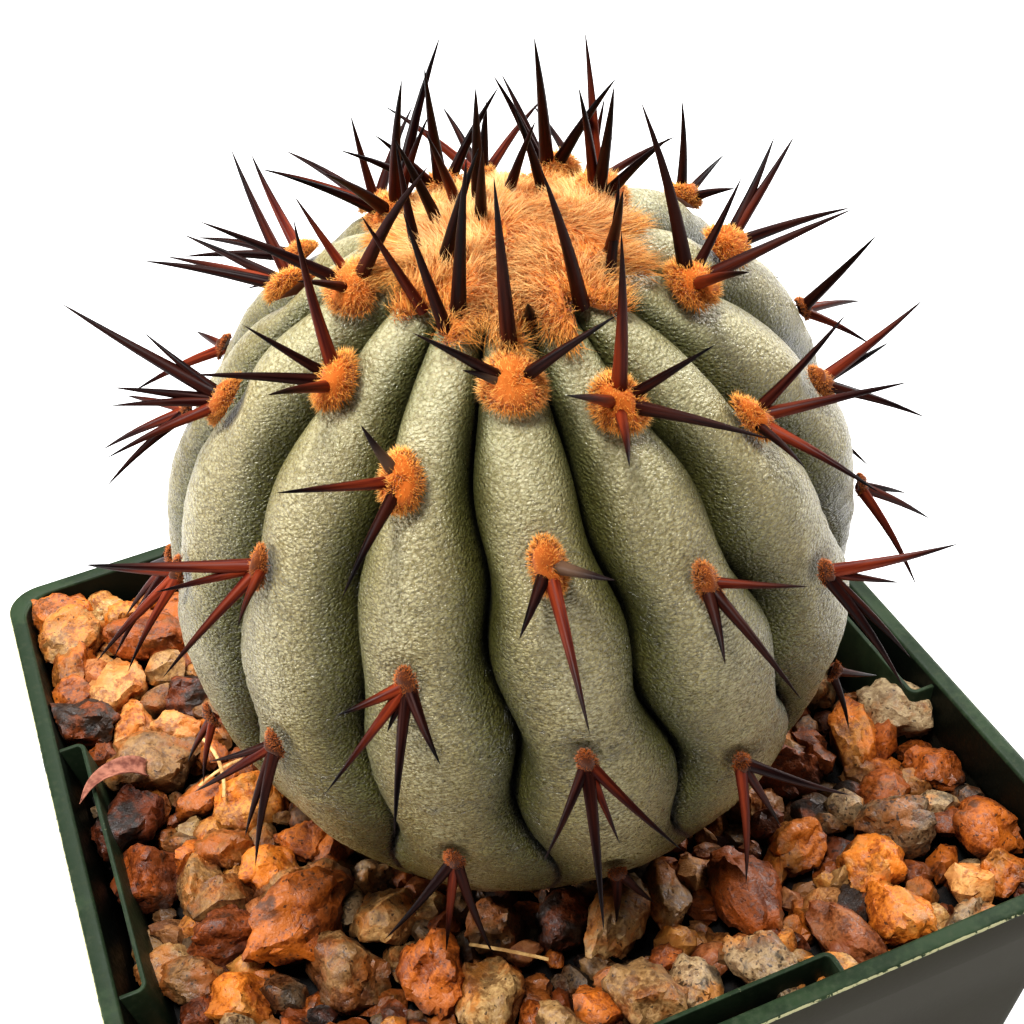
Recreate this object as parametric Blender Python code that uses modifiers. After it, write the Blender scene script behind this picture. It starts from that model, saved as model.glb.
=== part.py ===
"""Potted copiapoa: one ribbed, woolly crowned globe cactus in a square nursery pot with a gravel top.

Metres, +Z up. The origin is the middle of the pot's underside, and the pot's sides lie along X and Y.
The cactus leans towards -Y, the side that faces the viewer.
"""

import math
import random

import bmesh
import bpy
from mathutils import Matrix, Vector

MM = 0.001

# Pot: a tapering square box with a thicker rim band and a label slot inside each side
POT_HEIGHT = 88.0 * MM
INNER_HALF_TOP = 49.1 * MM
INNER_HALF_FLOOR = 36.4 * MM
WALL = 1.1 * MM
CORNER_RADIUS = 4.0 * MM
CORNER_STEPS = 4
WALL_TOP = 87.0 * MM
RIM_BOTTOM = 81.6 * MM
RIM_INSET = 0.2 * MM
RIM_THICKNESS = 2.1 * MM
RIM_EDGE = 0.4 * MM
SLOT_HALF_LENGTH = 18.95 * MM
SLOT_GAP = 2.4 * MM
SLOT_WALL = 0.7 * MM
SLOT_TOP = 87.2 * MM
SLOT_BOTTOM = 76.2 * MM
SLOT_CORNER = 1.4 * MM
SLOT_ROOT = 0.6 * MM
DRAIN_RADIUS = 4.0 * MM
DRAIN_PLACE = 24.0 * MM

# Filling: soil with a gravel dressing on top, each a plain gap away from its neighbours
GAP = 0.3 * MM
SOIL_TOP = 74.0 * MM
BED_TOP = 80.2 * MM
STONE_COUNT = 103
STONE_TRIES = 60
STONE_HALF = (3.2 * MM, 4.6 * MM)
STONE_GROWTH = 1.14
STONE_LIFT = (0.25, 0.55)
STONE_EDGE_SHARE = 0.55
STONE_ROUGHNESS = 0.14
STONE_SEED = 11

# The larger stones that show round the plant: x, y, length in mm and turn in degrees, by colour
SHOWN_STONES = {
    "rust": ((-45, 47, 8, 140), (-46, 32, 6, 175), (-43, 0, 8, 170), (-25, -3, 7, 135), (-37, -12, 8, 5),
             (-29, -15, 13, 10), (-17, -26, 11, 80), (45, -36, 8, 140), (45, -26, 6, 165)),
    "orange": ((-45, 37, 8, 75), (-37, 43, 7, 0), (-30, 42, 6, 35), (-35, 38, 10, 150), (-35, 9, 6, 15),
               (-29, 6, 9, 170), (-30, -5, 6, 25), (-38, -20, 7, 170), (17, -33, 11, 85), (30, -42, 8, 95),
               (31, -35, 7, 110), (39, -18, 10, 70), (38, -26, 6, 120), (25, -29, 7, 30), (43, -42, 6, 80)),
    "peach": ((-40, 31, 9, 70), (-40, 24, 8, 65), (-35, 22, 6, 145)),
    "cream": ((-39, 46, 6, 75), (-39, 17, 11, 175), (-44, -13, 6, 5), (-26, -22, 9, 140), (-13, -33, 8, 80),
              (3, -30, 12, 55), (2, -39, 9, 95)),
    "tan": ((-44, 42, 9, 35), (-38, -4, 8, 70), (-28, -9, 9, 0), (-42, -16, 7, 155), (-20, -18, 7, 15),
            (-9, -24, 7, 60), (9, -29, 9, 70), (20, -45, 7, 135)),
    "grey": ((-20, -11, 6, 140), (7, -40, 7, 80), (14, -42, 9, 105), (36, -32, 8, 170), (36, -46, 7, 35)),
    "dark": ((-32, 27, 7, 160), (-46, 26, 9, 140), (-44, 8, 9, 45), (-2, -27, 7, 55)),
    "amber": ((-34, 0, 7, 130),),
    "salmon": ((24, -42, 10, 105),),
    "pale": ((46, -17, 9, 120),),
}

# Stem: an ellipsoid that leans forward, with rounded ribs whose furrows wander
STEM_CENTRE = Vector((4.0, -6.2, 119.1)) * MM
STEM_RADIUS = 35.3 * MM
STEM_HALF_HEIGHT = 42.4 * MM
LEAN_SIDE = math.radians(-0.8)
LEAN_FRONT = math.radians(-15.2)
RIBS = 14
RIB_STEP = 360.0 / RIBS
FIRST_RIB = -104.8
RIB_TWIST = 9.6 / 50.0
TWIST_CENTRE = 50.0
FURROW_DEPTH = 5.4 * MM
FLANK = 0.46
BACK_DROP = 3.4 * MM
FURROW_WANDER = 2.6
SWELL_HEIGHT = 0.45 * MM
SWELL_BELOW_AREOLE = 14.0
SWELL_LENGTH = 10.0
RIB_COLUMNS = (-0.5, -0.37, -0.18, 0.0, 0.18, 0.37)
STEM_ROWS = 25
ROOT_PLACE = (4.5 * MM, 2.5 * MM)
ROOT_TOP = 82.0 * MM
ROOT_TIP = 46.0 * MM
ROOT_RADII = (6.5 * MM, 2.2 * MM)
ROOT_SIDES = 16
STEM_HOLE_GAP = 0.6 * MM

# Wool: pads that hug the skin, and one cap on the growing point
WOOL_LIFT = 0.6 * MM
CAP_REACH = 17.9
CAP_LOBE = 1.5
CAP_HEIGHT = 3.4 * MM
CAP_SEGMENTS = 28
CAP_RINGS = 6
PAD_SEGMENTS = 7
PAD_RINGS = 4
CROWN_EDGE = 24.0

# Spines: (turn, lift, length in mm). Turn is in degrees from the crown's direction, clockwise seen
# from outside, and lift is the angle off the skin.
SPINE_SIDES = 3
SPINE_SEED = 5
SPINE_ROOT_LIFT = 1.25 * MM
SPINE_ROOT_SPREAD = 0.75 * MM
SPINE_BEND = 0.035
SPINE_KNEE = 0.55

# Areoles down each rib: polar angle from the crown in degrees, how far it sits aside of the ridge in rib
# places, then the spines that the front shows. An empty list takes them from the rule in spines_by_age.
AREOLES = {
    0: ((22.5, 0.0, ((-85, 50, 5), (-72, 50, 11), (77, 51, 12))),
        (44.8, 0.03, ((98, 55, 7), (-134, 48, 7), (-179, 40, 14))),
        (73.0, -0.04, ((-130, 33, 9), (174, 24, 8), (-168, 32, 15), (144, 30, 11))),
        (105.0, -0.05, ((-165, 33, 7), (150, 33, 6)))),
    1: ((28.2, 0.14, ((10, 50, 16), (91, 53, 9), (152, 48, 13), (-69, 50, 11), (-127, 50, 10))),
        (53.5, 0.04, ((114, 46, 8), (-176, 44, 12), (-136, 43, 7))),
        (86.5, -0.15, ((-154, 26, 13), (175, 24, 10), (138, 29, 13)))),
    2: ((41.5, 0.2, ((83, 43, 11), (134, 42, 13), (-158, 44, 12), (-110, 50, 8))),
        (67.5, -0.1, ((127, 30, 15), (147, 26, 9), (-164, 27, 14), (-178, 27, 13))),
        (97.0, -0.05, ((147, 33, 9), (-160, 30, 8)))),
    3: ((26.0, 0.14, ((17, 42, 17), (93, 51, 9), (158, 52, 14), (-77, 54, 12))),
        (52.2, 0.0, ((122, 38, 14), (133, 34, 9), (-175, 34, 11))),
        (80.0, 0.0, ((-130, 24, 12), (165, 41, 8), (180, 40, 12)))),
    4: ((35.0, 0.0, ((130, 39, 13), (122, 36, 12), (180, 40, 12))),
        (61.0, 0.0, ((-15, 41, 13), (-135, 30, 8), (170, 34, 11))),
        (90.0, 0.0, ())),
    5: ((16.5, -0.1, ((8, 62, 12), (-22, 64, 14), (-72, 58, 11), (95, 58, 13))),
        (42.0, 0.0, ((20, 47, 10), (-75, 38, 5), (170, 41, 8))),
        (69.0, 0.0, ()), (99.0, 0.0, ())),
    6: ((20.5, 0.2, ((5, 55, 17), (-38, 52, 14), (60, 56, 10), (110, 52, 9))),
        (50.0, 0.0, ()), (78.0, 0.0, ())),
    7: ((44.0, 0.0, ()), (66.0, 0.0, ()), (92.0, 0.0, ())),
    8: ((22.0, 0.0, ((16, 55, 16), (60, 50, 10), (-42, 50, 11), (90, 40, 10))),
        (47.0, 0.0, ()), (74.0, 0.0, ()), (103.0, 0.0, ())),
    9: ((21.0, 0.05, ((-60, 50, 15), (8, 56, 16), (60, 44, 14), (-20, 50, 10), (110, 50, 11))),
        (45.0, 0.0, ((-120, 48, 13), (150, 40, 11), (180, 38, 12))),
        (72.0, 0.0, ()), (101.0, 0.0, ())),
    10: ((36.5, -0.18, ((-90, 50, 13), (-165, 40, 12), (-148, 38, 12), (180, 48, 13))),
         (63.0, 0.0, ()), (92.0, 0.0, ())),
    11: ((21.2, -0.06, ((-150, 52, 13), (-94, 52, 8), (22, 41, 16), (118, 60, 8))),
         (46.0, -0.2, ((-102, 45, 17), (-135, 45, 10), (-148, 45, 10), (171, 44, 11), (-88, 46, 9))),
         (71.0, 0.0, ((-172, 33, 13), (150, 36, 10), (-120, 34, 11))),
         (99.0, 0.0, ((-163, 33, 9), (165, 33, 8)))),
    12: ((30.0, -0.22, ((-23, 48, 14), (-94, 51, 8), (-138, 50, 11), (125, 69, 11))),
         (56.0, -0.15, ((-106, 40, 15), (-125, 39, 9), (-177, 45, 12), (105, 53, 8))),
         (81.5, 0.0, ((-135, 23, 12), (-122, 22, 8), (-171, 26, 11), (178, 27, 13)))),
    13: ((36.5, -0.13, ((-30, 46, 6), (-107, 46, 10), (178, 47, 12))),
         (61.5, 0.0, ((-104, 36, 6), (-143, 31, 11), (178, 34, 12), (139, 36, 7), (-159, 25, 4))),
         (94.2, 0.03, ((-135, 28, 12), (-168, 26, 12), (167, 26, 12)))),
}

# Young spines that stand in the crown's wool: rib place, polar angle, turn, lift, length in mm
CROWN_SPINES = (
    (8.9, 8.5, 60, 68, 11), (8.2, 7.0, 17, 70, 15), (9.7, 3.5, 50, 70, 12), (11.9, 10.0, 29, 66, 14),
    (13.0, 14.5, 10, 68, 16), (0.0, 18.0, -4, 68, 18), (12.9, 17.0, -35, 64, 12),
    (12.3, 16.0, -70, 60, 10), (11.1, 12.0, -59, 66, 10), (1.6, 15.0, -24, 64, 16),
    (3.0, 14.0, -66, 66, 13), (2.4, 15.5, 37, 64, 10), (0.5, 14.0, -143, 74, 6), (6.9, 8.0, -44, 68, 9),
    (5.8, 10.0, 30, 66, 10), (10.0, 9.0, 95, 76, 12),
)

COLOURS = {
    "pot": ("pot_plastic", (0.045, 0.060, 0.038), 0.50),
    "soil": ("potting_soil", (0.040, 0.026, 0.017), 0.95),
    "gravel": ("granite_gravel", (0.420, 0.170, 0.070), 0.90),
    "stem": ("waxy_skin", (0.330, 0.350, 0.240), 0.60),
    "wool": ("areole_wool", (0.760, 0.290, 0.075), 0.95),
}


def clear_scene():
    """Remove whatever the new file holds."""
    for item in list(bpy.data.objects):
        bpy.data.objects.remove(item, do_unlink=True)


def new_collection(name):
    """Return a new collection linked to the scene."""
    group = bpy.data.collections.new(name)
    bpy.context.scene.collection.children.link(group)
    return group


def new_material(name, colour, roughness):
    """Return a Principled material of one colour."""
    material = bpy.data.materials.new(name)
    material.use_nodes = True
    shader = material.node_tree.nodes["Principled BSDF"]
    shader.inputs["Base Color"].default_value = (*colour, 1.0)
    shader.inputs["Roughness"].default_value = roughness
    shader.inputs["Metallic"].default_value = 0.0
    material.diffuse_color = (*colour, 1.0)
    return material


def add_object(name, mesh_data, group, material=None):
    """Write a bmesh to a new object in a collection, turning a closed shape's faces out."""
    closed = all(edge.is_manifold for edge in mesh_data.edges)
    if closed and mesh_data.calc_volume(signed=True) < 0.0:
        bmesh.ops.reverse_faces(mesh_data, faces=mesh_data.faces)
    mesh = bpy.data.meshes.new(name)
    mesh_data.to_mesh(mesh)
    mesh_data.free()
    if material:
        mesh.materials.append(material)
    item = bpy.data.objects.new(name, mesh)
    group.objects.link(item)
    return item


def apply_modifiers(item):
    """Replace an object's mesh by its evaluated mesh and drop the modifiers."""
    graph = bpy.context.evaluated_depsgraph_get()
    graph.update()
    mesh = bpy.data.meshes.new_from_object(item.evaluated_get(graph))
    item.modifiers.clear()
    item.data = mesh


def boolean(item, group, operation, solver="EXACT"):
    """Join a collection's objects to an object, or cut them from it, then remove them."""
    modifier = item.modifiers.new(operation.lower(), "BOOLEAN")
    modifier.operation = operation
    modifier.operand_type = "COLLECTION"
    modifier.collection = group
    modifier.solver = solver
    apply_modifiers(item)
    for other in list(group.objects):
        bpy.data.objects.remove(other, do_unlink=True)


def smooth_ramp(low, high, value):
    """Rise smoothly from 0 at low to 1 at high."""
    t = min(max((value - low) / (high - low), 0.0), 1.0)
    return t * t * (3.0 - 2.0 * t)


def inner_half(z):
    """Half the clear width between the pot's walls at a height."""
    share = (z - WALL) / (POT_HEIGHT - WALL)
    return INNER_HALF_FLOOR + (INNER_HALF_TOP - INNER_HALF_FLOOR) * share


def wall_slope():
    """How far the wall moves out for each metre up."""
    return (INNER_HALF_TOP - INNER_HALF_FLOOR) / (POT_HEIGHT - WALL)


def tapered_box(bottom, top, shrink, open_faces=()):
    """Return a bmesh box between the walls, shrunk by a margin, with rounded upright edges."""
    mesh = bmesh.new()
    bmesh.ops.create_cube(mesh, size=2.0)
    for vert in mesh.verts:
        z = top if vert.co.z > 0.0 else bottom
        half = inner_half(z) - shrink
        vert.co = Vector((vert.co.x * half, vert.co.y * half, z))
    uprights = [edge for edge in mesh.edges if abs(edge.verts[0].co.z - edge.verts[1].co.z) > MM]
    bmesh.ops.bevel(mesh, geom=uprights, offset=CORNER_RADIUS, segments=CORNER_STEPS, profile=0.5,
                    affect="EDGES")
    mesh.normal_update()
    drop = [face for face in mesh.faces
            if ("top" in open_faces and face.normal.z > 0.9)
            or ("bottom" in open_faces and face.normal.z < -0.9)]
    bmesh.ops.delete(mesh, geom=drop, context="FACES_ONLY")
    return mesh


def add_solidify(item, thickness):
    """Give an open surface its wall, outside the surface it starts from."""
    modifier = item.modifiers.new("wall", "SOLIDIFY")
    modifier.thickness = thickness
    modifier.offset = 1.0
    modifier.use_even_offset = True


def add_rim(group):
    """Add the thicker band round the pot's mouth."""
    surface = tapered_box(RIM_BOTTOM, POT_HEIGHT, RIM_INSET, ("top", "bottom"))
    rim = add_object("rim", surface, group)
    add_solidify(rim, RIM_THICKNESS)
    bevel = rim.modifiers.new("edges", "BEVEL")
    bevel.width = RIM_EDGE
    bevel.segments = 1
    bevel.limit_method = "ANGLE"
    bevel.angle_limit = math.radians(60.0)
    apply_modifiers(rim)


def follow_wall(item, turn):
    """Lean a piece modelled against an upright wall at +Y with the wall, then turn it to its side."""
    for vert in item.data.vertices:
        vert.co.y += (vert.co.z - POT_HEIGHT) * wall_slope()
    item.data.transform(Matrix.Rotation(turn, 4, "Z"))


def add_label_slot(group, turn):
    """Add one U-shaped strip that holds a label against the wall."""
    front = INNER_HALF_TOP - RIM_INSET - SLOT_GAP
    back = INNER_HALF_TOP + SLOT_ROOT
    mesh = bmesh.new()
    bmesh.ops.create_cube(mesh, size=2.0)
    for vert in mesh.verts:
        vert.co.x *= SLOT_HALF_LENGTH
        vert.co.y = back if vert.co.y > 0.0 else front
        vert.co.z = SLOT_TOP if vert.co.z > 0.0 else SLOT_BOTTOM
    corners = [edge for edge in mesh.edges
               if all(vert.co.y < back - MM for vert in edge.verts)
               and abs(edge.verts[0].co.z - edge.verts[1].co.z) > MM]
    mesh.normal_update()
    drop = [face for face in mesh.faces if abs(face.normal.z) > 0.9 or face.normal.y > 0.9]
    bmesh.ops.delete(mesh, geom=drop, context="FACES_ONLY")
    bmesh.ops.bevel(mesh, geom=corners, offset=SLOT_CORNER, segments=2, profile=0.5, affect="EDGES")
    slot = add_object("label_slot", mesh, group)
    add_solidify(slot, SLOT_WALL)
    apply_modifiers(slot)
    follow_wall(slot, turn)


def add_drain_cutters(group):
    """Add four drills for the drain holes, near the floor's corners."""
    for side_x in (-1.0, 1.0):
        for side_y in (-1.0, 1.0):
            mesh = bmesh.new()
            bmesh.ops.create_cone(mesh, cap_ends=True, segments=16, radius1=DRAIN_RADIUS,
                                  radius2=DRAIN_RADIUS, depth=6.0 * WALL)
            bmesh.ops.translate(mesh, verts=mesh.verts,
                                vec=(side_x * DRAIN_PLACE, side_y * DRAIN_PLACE, 0.0))
            add_object("drain_drill", mesh, group)


def make_pot(parts, work, material):
    """Mould the pot: wall and floor, rim band, four label slots and the drain holes."""
    pot = add_object("pot", tapered_box(WALL, WALL_TOP, 0.0, ("top",)), parts, material)
    add_solidify(pot, WALL)
    apply_modifiers(pot)
    add_rim(work)
    for quarter in range(4):
        add_label_slot(work, quarter * math.pi / 2.0)
    boolean(pot, work, "UNION", "MANIFOLD")
    add_drain_cutters(work)
    boolean(pot, work, "DIFFERENCE", "MANIFOLD")


def stem_axes():
    """Return the leaning frame: sideways, back and up along the stem."""
    up = Vector((math.tan(LEAN_SIDE), math.tan(LEAN_FRONT), 1.0)).normalized()
    side = (Vector((1.0, 0.0, 0.0)) - up * up.x).normalized()
    return side, up.cross(side), up


SIDE, BACK, UP = stem_axes()


def swell(rib, polar):
    """How much a rib swells at a polar angle: most midway below each areole."""
    total = 0.0
    for level in AREOLES[rib % RIBS]:
        offset = (polar - level[0] - SWELL_BELOW_AREOLE) / SWELL_LENGTH
        total += math.exp(-offset * offset)
    return total


def furrow_share(polar):
    """Depth of the furrows along the stem, as a share of the deepest."""
    return smooth_ramp(7.0, 36.0, polar) * (1.0 - smooth_ramp(74.0, 120.0, polar))


def skin(polar, place, lift=0.0):
    """Return the point of the skin at a polar angle and a rib place, and the direction out of it.

    A whole rib place is a rib's ridge, and the furrows lie halfway between.
    """
    rib = math.floor(place + 0.5)
    across = 2.0 * (place - rib)
    beside = rib + (1 if across > 0.0 else -1)
    lower, upper = min(rib, beside), max(rib, beside)
    wander = FURROW_WANDER * (swell(lower, polar) - swell(upper, polar)) * abs(across) ** 1.5
    azimuth = math.radians(FIRST_RIB + RIB_TWIST * (polar - TWIST_CENTRE) + RIB_STEP * place + wander)
    theta = math.radians(polar)
    around = SIDE * math.cos(azimuth) + BACK * math.sin(azimuth)
    point = STEM_CENTRE + around * (STEM_RADIUS * math.sin(theta))
    point = point + UP * (STEM_HALF_HEIGHT * math.cos(theta))
    out = around * (math.sin(theta) / STEM_RADIUS) + UP * (math.cos(theta) / STEM_HALF_HEIGHT)
    out.normalize()
    share = furrow_share(polar)
    hollow = FLANK * across ** 2 + (1.0 - FLANK) * abs(across) ** 7
    bulge = SWELL_HEIGHT * (swell(rib, polar) - 0.5) * (1.0 - across ** 2)
    behind = around.dot(BACK) * math.sin(theta)
    drop = BACK_DROP * smooth_ramp(0.12, 0.50, behind) * smooth_ramp(90.0, 30.0, polar)
    height = share * (bulge - FURROW_DEPTH * hollow) - drop
    return point + out * (height + lift), out


def make_stem(parts, work, material):
    """Shape the ribbed globe from a sphere, and join the short taproot under it."""
    columns = len(RIB_COLUMNS)
    mesh = bmesh.new()
    bmesh.ops.create_uvsphere(mesh, u_segments=RIBS * columns, v_segments=STEM_ROWS, radius=1.0)
    for vert in mesh.verts:
        polar = math.degrees(math.acos(min(max(vert.co.z, -1.0), 1.0)))
        turn = math.atan2(vert.co.y, vert.co.x) / (2.0 * math.pi) * RIBS * columns
        column = round(turn) % (RIBS * columns)
        vert.co = skin(polar, column // columns + RIB_COLUMNS[column % columns])[0]
    stem = add_object("stem", mesh, parts, material)
    root = bmesh.new()
    bmesh.ops.create_cone(root, cap_ends=True, segments=ROOT_SIDES, radius1=ROOT_RADII[1],
                          radius2=ROOT_RADII[0], depth=ROOT_TOP - ROOT_TIP)
    bmesh.ops.translate(root, verts=root.verts, vec=(*ROOT_PLACE, (ROOT_TOP + ROOT_TIP) / 2.0))
    add_object("taproot", root, work)
    boolean(stem, work, "UNION")


def add_stem_cutters(group, with_globe):
    """Add the clear space for the taproot, and for the globe's foot where it dips into the bed."""
    root = bmesh.new()
    bmesh.ops.create_cone(root, cap_ends=True, segments=ROOT_SIDES, radius1=ROOT_RADII[1] + STEM_HOLE_GAP,
                          radius2=ROOT_RADII[0] + STEM_HOLE_GAP, depth=ROOT_TOP - ROOT_TIP + 2.0 * GAP)
    bmesh.ops.translate(root, verts=root.verts, vec=(*ROOT_PLACE, (ROOT_TOP + ROOT_TIP) / 2.0))
    add_object("root_space", root, group)
    if not with_globe:
        return
    globe = bmesh.new()
    bmesh.ops.create_uvsphere(globe, u_segments=36, v_segments=26, radius=1.0)
    grown = STEM_RADIUS + STEM_HOLE_GAP
    tall = STEM_HALF_HEIGHT + STEM_HOLE_GAP
    for vert in globe.verts:
        x, y, z = vert.co
        vert.co = STEM_CENTRE + SIDE * (x * grown) + BACK * (y * grown) + UP * (z * tall)
    add_object("globe_space", globe, group)


def make_soil(parts, work, material):
    """Fill the pot with soil, with a plain hole for the taproot."""
    mesh = tapered_box(WALL + GAP, SOIL_TOP, GAP)
    soil = add_object("soil", mesh, parts, material)
    add_stem_cutters(work, with_globe=False)
    boolean(soil, work, "DIFFERENCE")


def near_slot(x, y, margin):
    """Tell whether a point lies nearer than a margin to one of the label slots."""
    limit = INNER_HALF_TOP - RIM_INSET - SLOT_GAP - SLOT_WALL + (BED_TOP - POT_HEIGHT) * wall_slope()
    for along, out in ((x, y), (y, x)):
        if abs(along) < SLOT_HALF_LENGTH + margin and abs(out) > limit - margin:
            return True
    return False


def free_spot(x, y, half):
    """Tell whether a stone there keeps clear of the label slots and the taproot."""
    clear_of_root = math.hypot(x - ROOT_PLACE[0], y - ROOT_PLACE[1]) > 15.0 * MM + half
    return clear_of_root and not near_slot(x, y, STONE_EDGE_SHARE * half)


def place_stones():
    """Set the shown stones, then fill the gaps: x, y, half length and turn of each stone.

    The shown ones grow a little for the part that the bed hides, and each further one takes the
    roomiest of several drawn spots.
    """
    draw = random.Random(STONE_SEED)
    edge = inner_half(BED_TOP - 2.0 * MM) - 2.0 * GAP
    stones = [(x * MM, y * MM, length * MM / 2.0 * STONE_GROWTH, math.radians(turn))
              for group in SHOWN_STONES.values() for x, y, length, turn in group]
    while len(stones) < STONE_COUNT:
        half = draw.uniform(*STONE_HALF)
        reach = edge - STONE_EDGE_SHARE * half
        best = None
        for attempt in range(STONE_TRIES):
            x, y = draw.uniform(-reach, reach), draw.uniform(-reach, reach)
            if free_spot(x, y, half):
                room = min(math.hypot(x - a, y - b) - c for a, b, c, turn in stones)
                best = max(best or (room, x, y), (room, x, y))
        if best:
            stones.append((best[1], best[2], half, draw.uniform(0.0, math.tau)))
    return stones


def add_stone(group, stone, draw):
    """Add one rough pebble, half sunk in the bed."""
    x, y, half, turn = stone
    mesh = bmesh.new()
    bmesh.ops.create_icosphere(mesh, subdivisions=1, radius=1.0)
    wide = half * draw.uniform(0.72, 0.92)
    high = half * draw.uniform(0.62, 0.82)
    tilt = Matrix.Rotation(draw.uniform(-0.3, 0.3), 3, "X")
    spin = Matrix.Rotation(turn, 3, "Z")
    lift = draw.uniform(*STONE_LIFT) * high
    for vert in mesh.verts:
        rough = 1.0 + draw.uniform(-STONE_ROUGHNESS, STONE_ROUGHNESS)
        shaped = Vector((vert.co.x * half, vert.co.y * wide, vert.co.z * high)) * rough
        vert.co = spin @ (tilt @ shaped) + Vector((x, y, BED_TOP + lift))
    add_object("stone", mesh, group)


def add_slot_space(group, turn):
    """Add the clear space that the bed leaves round one label slot."""
    front = INNER_HALF_TOP - RIM_INSET - SLOT_GAP - SLOT_WALL - GAP
    mesh = bmesh.new()
    bmesh.ops.create_cube(mesh, size=2.0)
    for vert in mesh.verts:
        vert.co.x *= SLOT_HALF_LENGTH + SLOT_WALL + GAP
        vert.co.y = INNER_HALF_TOP + MM if vert.co.y > 0.0 else front
        vert.co.z = POT_HEIGHT if vert.co.z > 0.0 else SOIL_TOP - MM
    space = add_object("slot_space", mesh, group)
    follow_wall(space, turn)


def make_gravel(parts, work, material):
    """Lay the gravel bed, fuse its stones to it, then clear the stem and the label slots."""
    mesh = tapered_box(SOIL_TOP + GAP, BED_TOP, GAP)
    gravel = add_object("gravel", mesh, parts, material)
    draw = random.Random(STONE_SEED + 1)
    for stone in place_stones():
        add_stone(work, stone, draw)
    boolean(gravel, work, "UNION", "MANIFOLD")
    add_object("inside_of_pot", tapered_box(SOIL_TOP + GAP, POT_HEIGHT + 4.0 * MM, GAP), work)
    boolean(gravel, work, "INTERSECT", "MANIFOLD")
    add_stem_cutters(work, with_globe=True)
    for quarter in range(4):
        add_slot_space(work, quarter * math.pi / 2.0)
    boolean(gravel, work, "DIFFERENCE", "MANIFOLD")


def wool_mesh(segments, rings, place_at, height_at):
    """Map a sphere onto the skin: its lower half hugs the skin and its upper half stands off it.

    place_at gives polar angle and rib place for a direction and a share of the pad's reach, and
    height_at gives the wool's height there.
    """
    mesh = bmesh.new()
    bmesh.ops.create_uvsphere(mesh, u_segments=segments, v_segments=rings, radius=1.0)
    for vert in mesh.verts:
        turn = math.atan2(vert.co.y, vert.co.x)
        reach = math.hypot(vert.co.x, vert.co.y)
        polar, place = place_at(turn, reach)
        lift = WOOL_LIFT
        if vert.co.z > -0.01:
            lift += height_at(turn, reach) * (0.22 + 0.78 * max(vert.co.z, 0.0) ** 0.8)
        vert.co = skin(polar, place, lift)[0]
    return mesh


def pad_size(polar):
    """Half length and height of an areole's wool: it wears away as the areole ages down the rib."""
    age = smooth_ramp(22.0, 68.0, polar)
    return (2.9 - 1.5 * age) * MM, (2.7 - 1.0 * age) * MM


def make_pad(polar, place):
    """Return the wool pad of one areole."""
    half, height = pad_size(polar)
    degrees_along = math.degrees(1.0 / STEM_HALF_HEIGHT)
    ring_radius = STEM_RADIUS * math.sin(math.radians(polar))
    places_across = RIBS / (math.tau * ring_radius)

    def place_at(turn, reach):
        along = half * 1.1 * reach * math.cos(turn)
        across = half * 0.9 * reach * math.sin(turn)
        return polar - along * degrees_along, place + across * places_across

    return wool_mesh(PAD_SEGMENTS, PAD_RINGS, place_at, lambda turn, reach: height)


def make_cap():
    """Return the crown's wool cap, with a lobe out along each rib."""
    def place_at(turn, reach):
        place = turn / math.tau * RIBS
        lobe = CAP_LOBE * math.cos(math.tau * place)
        return reach * (CAP_REACH + lobe), place

    def height_at(turn, reach):
        return CAP_HEIGHT * (1.0 + 0.18 * math.sin(5.0 * turn + 9.0 * reach))

    return wool_mesh(CAP_SEGMENTS, CAP_RINGS, place_at, height_at)


def spines_by_age(polar, draw):
    """Spines of an areole: young ones stand up, old ones hang down."""
    if polar < 33.0:
        plan = ((0, 54, 14), (-72, 46, 11), (72, 46, 11))
    elif polar < 58.0:
        plan = ((178, 42, 13), (-108, 42, 11), (108, 42, 11), (5, 50, 9))
    else:
        plan = ((180, 33, 12), (-140, 33, 11), (140, 33, 11))
    return [(turn + draw.uniform(-9.0, 9.0), lift + draw.uniform(-3.0, 4.0),
             length * draw.uniform(0.85, 1.12)) for turn, lift, length in plan]


def add_spine(group, polar, place, spine, spread):
    """Add one tapering, slightly bent spine with its root sunk in the wool."""
    turn, lift, length = math.radians(spine[0]), math.radians(spine[1]), spine[2] * MM
    point, out = skin(polar, place)
    to_crown = (skin(polar - 1.0, place)[0] - point)
    to_crown = (to_crown - out * to_crown.dot(out)).normalized()
    right = to_crown.cross(out)
    along = to_crown * math.cos(turn) + right * math.sin(turn)
    way = along * math.cos(lift) + out * math.sin(lift)
    root = point + out * SPINE_ROOT_LIFT + along * spread
    radius = 0.60 * MM + 0.025 * length
    mesh = bmesh.new()
    bmesh.ops.create_cone(mesh, cap_ends=True, segments=SPINE_SIDES, radius1=radius, radius2=0.0, depth=1.0)
    bmesh.ops.bisect_plane(mesh, geom=mesh.verts[:] + mesh.edges[:] + mesh.faces[:],
                           plane_co=(0.0, 0.0, SPINE_KNEE - 0.5), plane_no=(0.0, 0.0, 1.0))
    upright = Vector((0.0, 0.0, 1.0)).rotation_difference(way).to_matrix()
    for vert in mesh.verts:
        share = vert.co.z + 0.5
        fuller = (1.0 - share) ** -0.4 if share < 0.99 else 1.0
        bend = out * (SPINE_BEND * length * math.sin(math.pi * share))
        flat = Vector((vert.co.x * fuller, vert.co.y * fuller, 0.0))
        vert.co = root + upright @ flat + way * (length * share) + bend
    add_object("spine", mesh, group)


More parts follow.
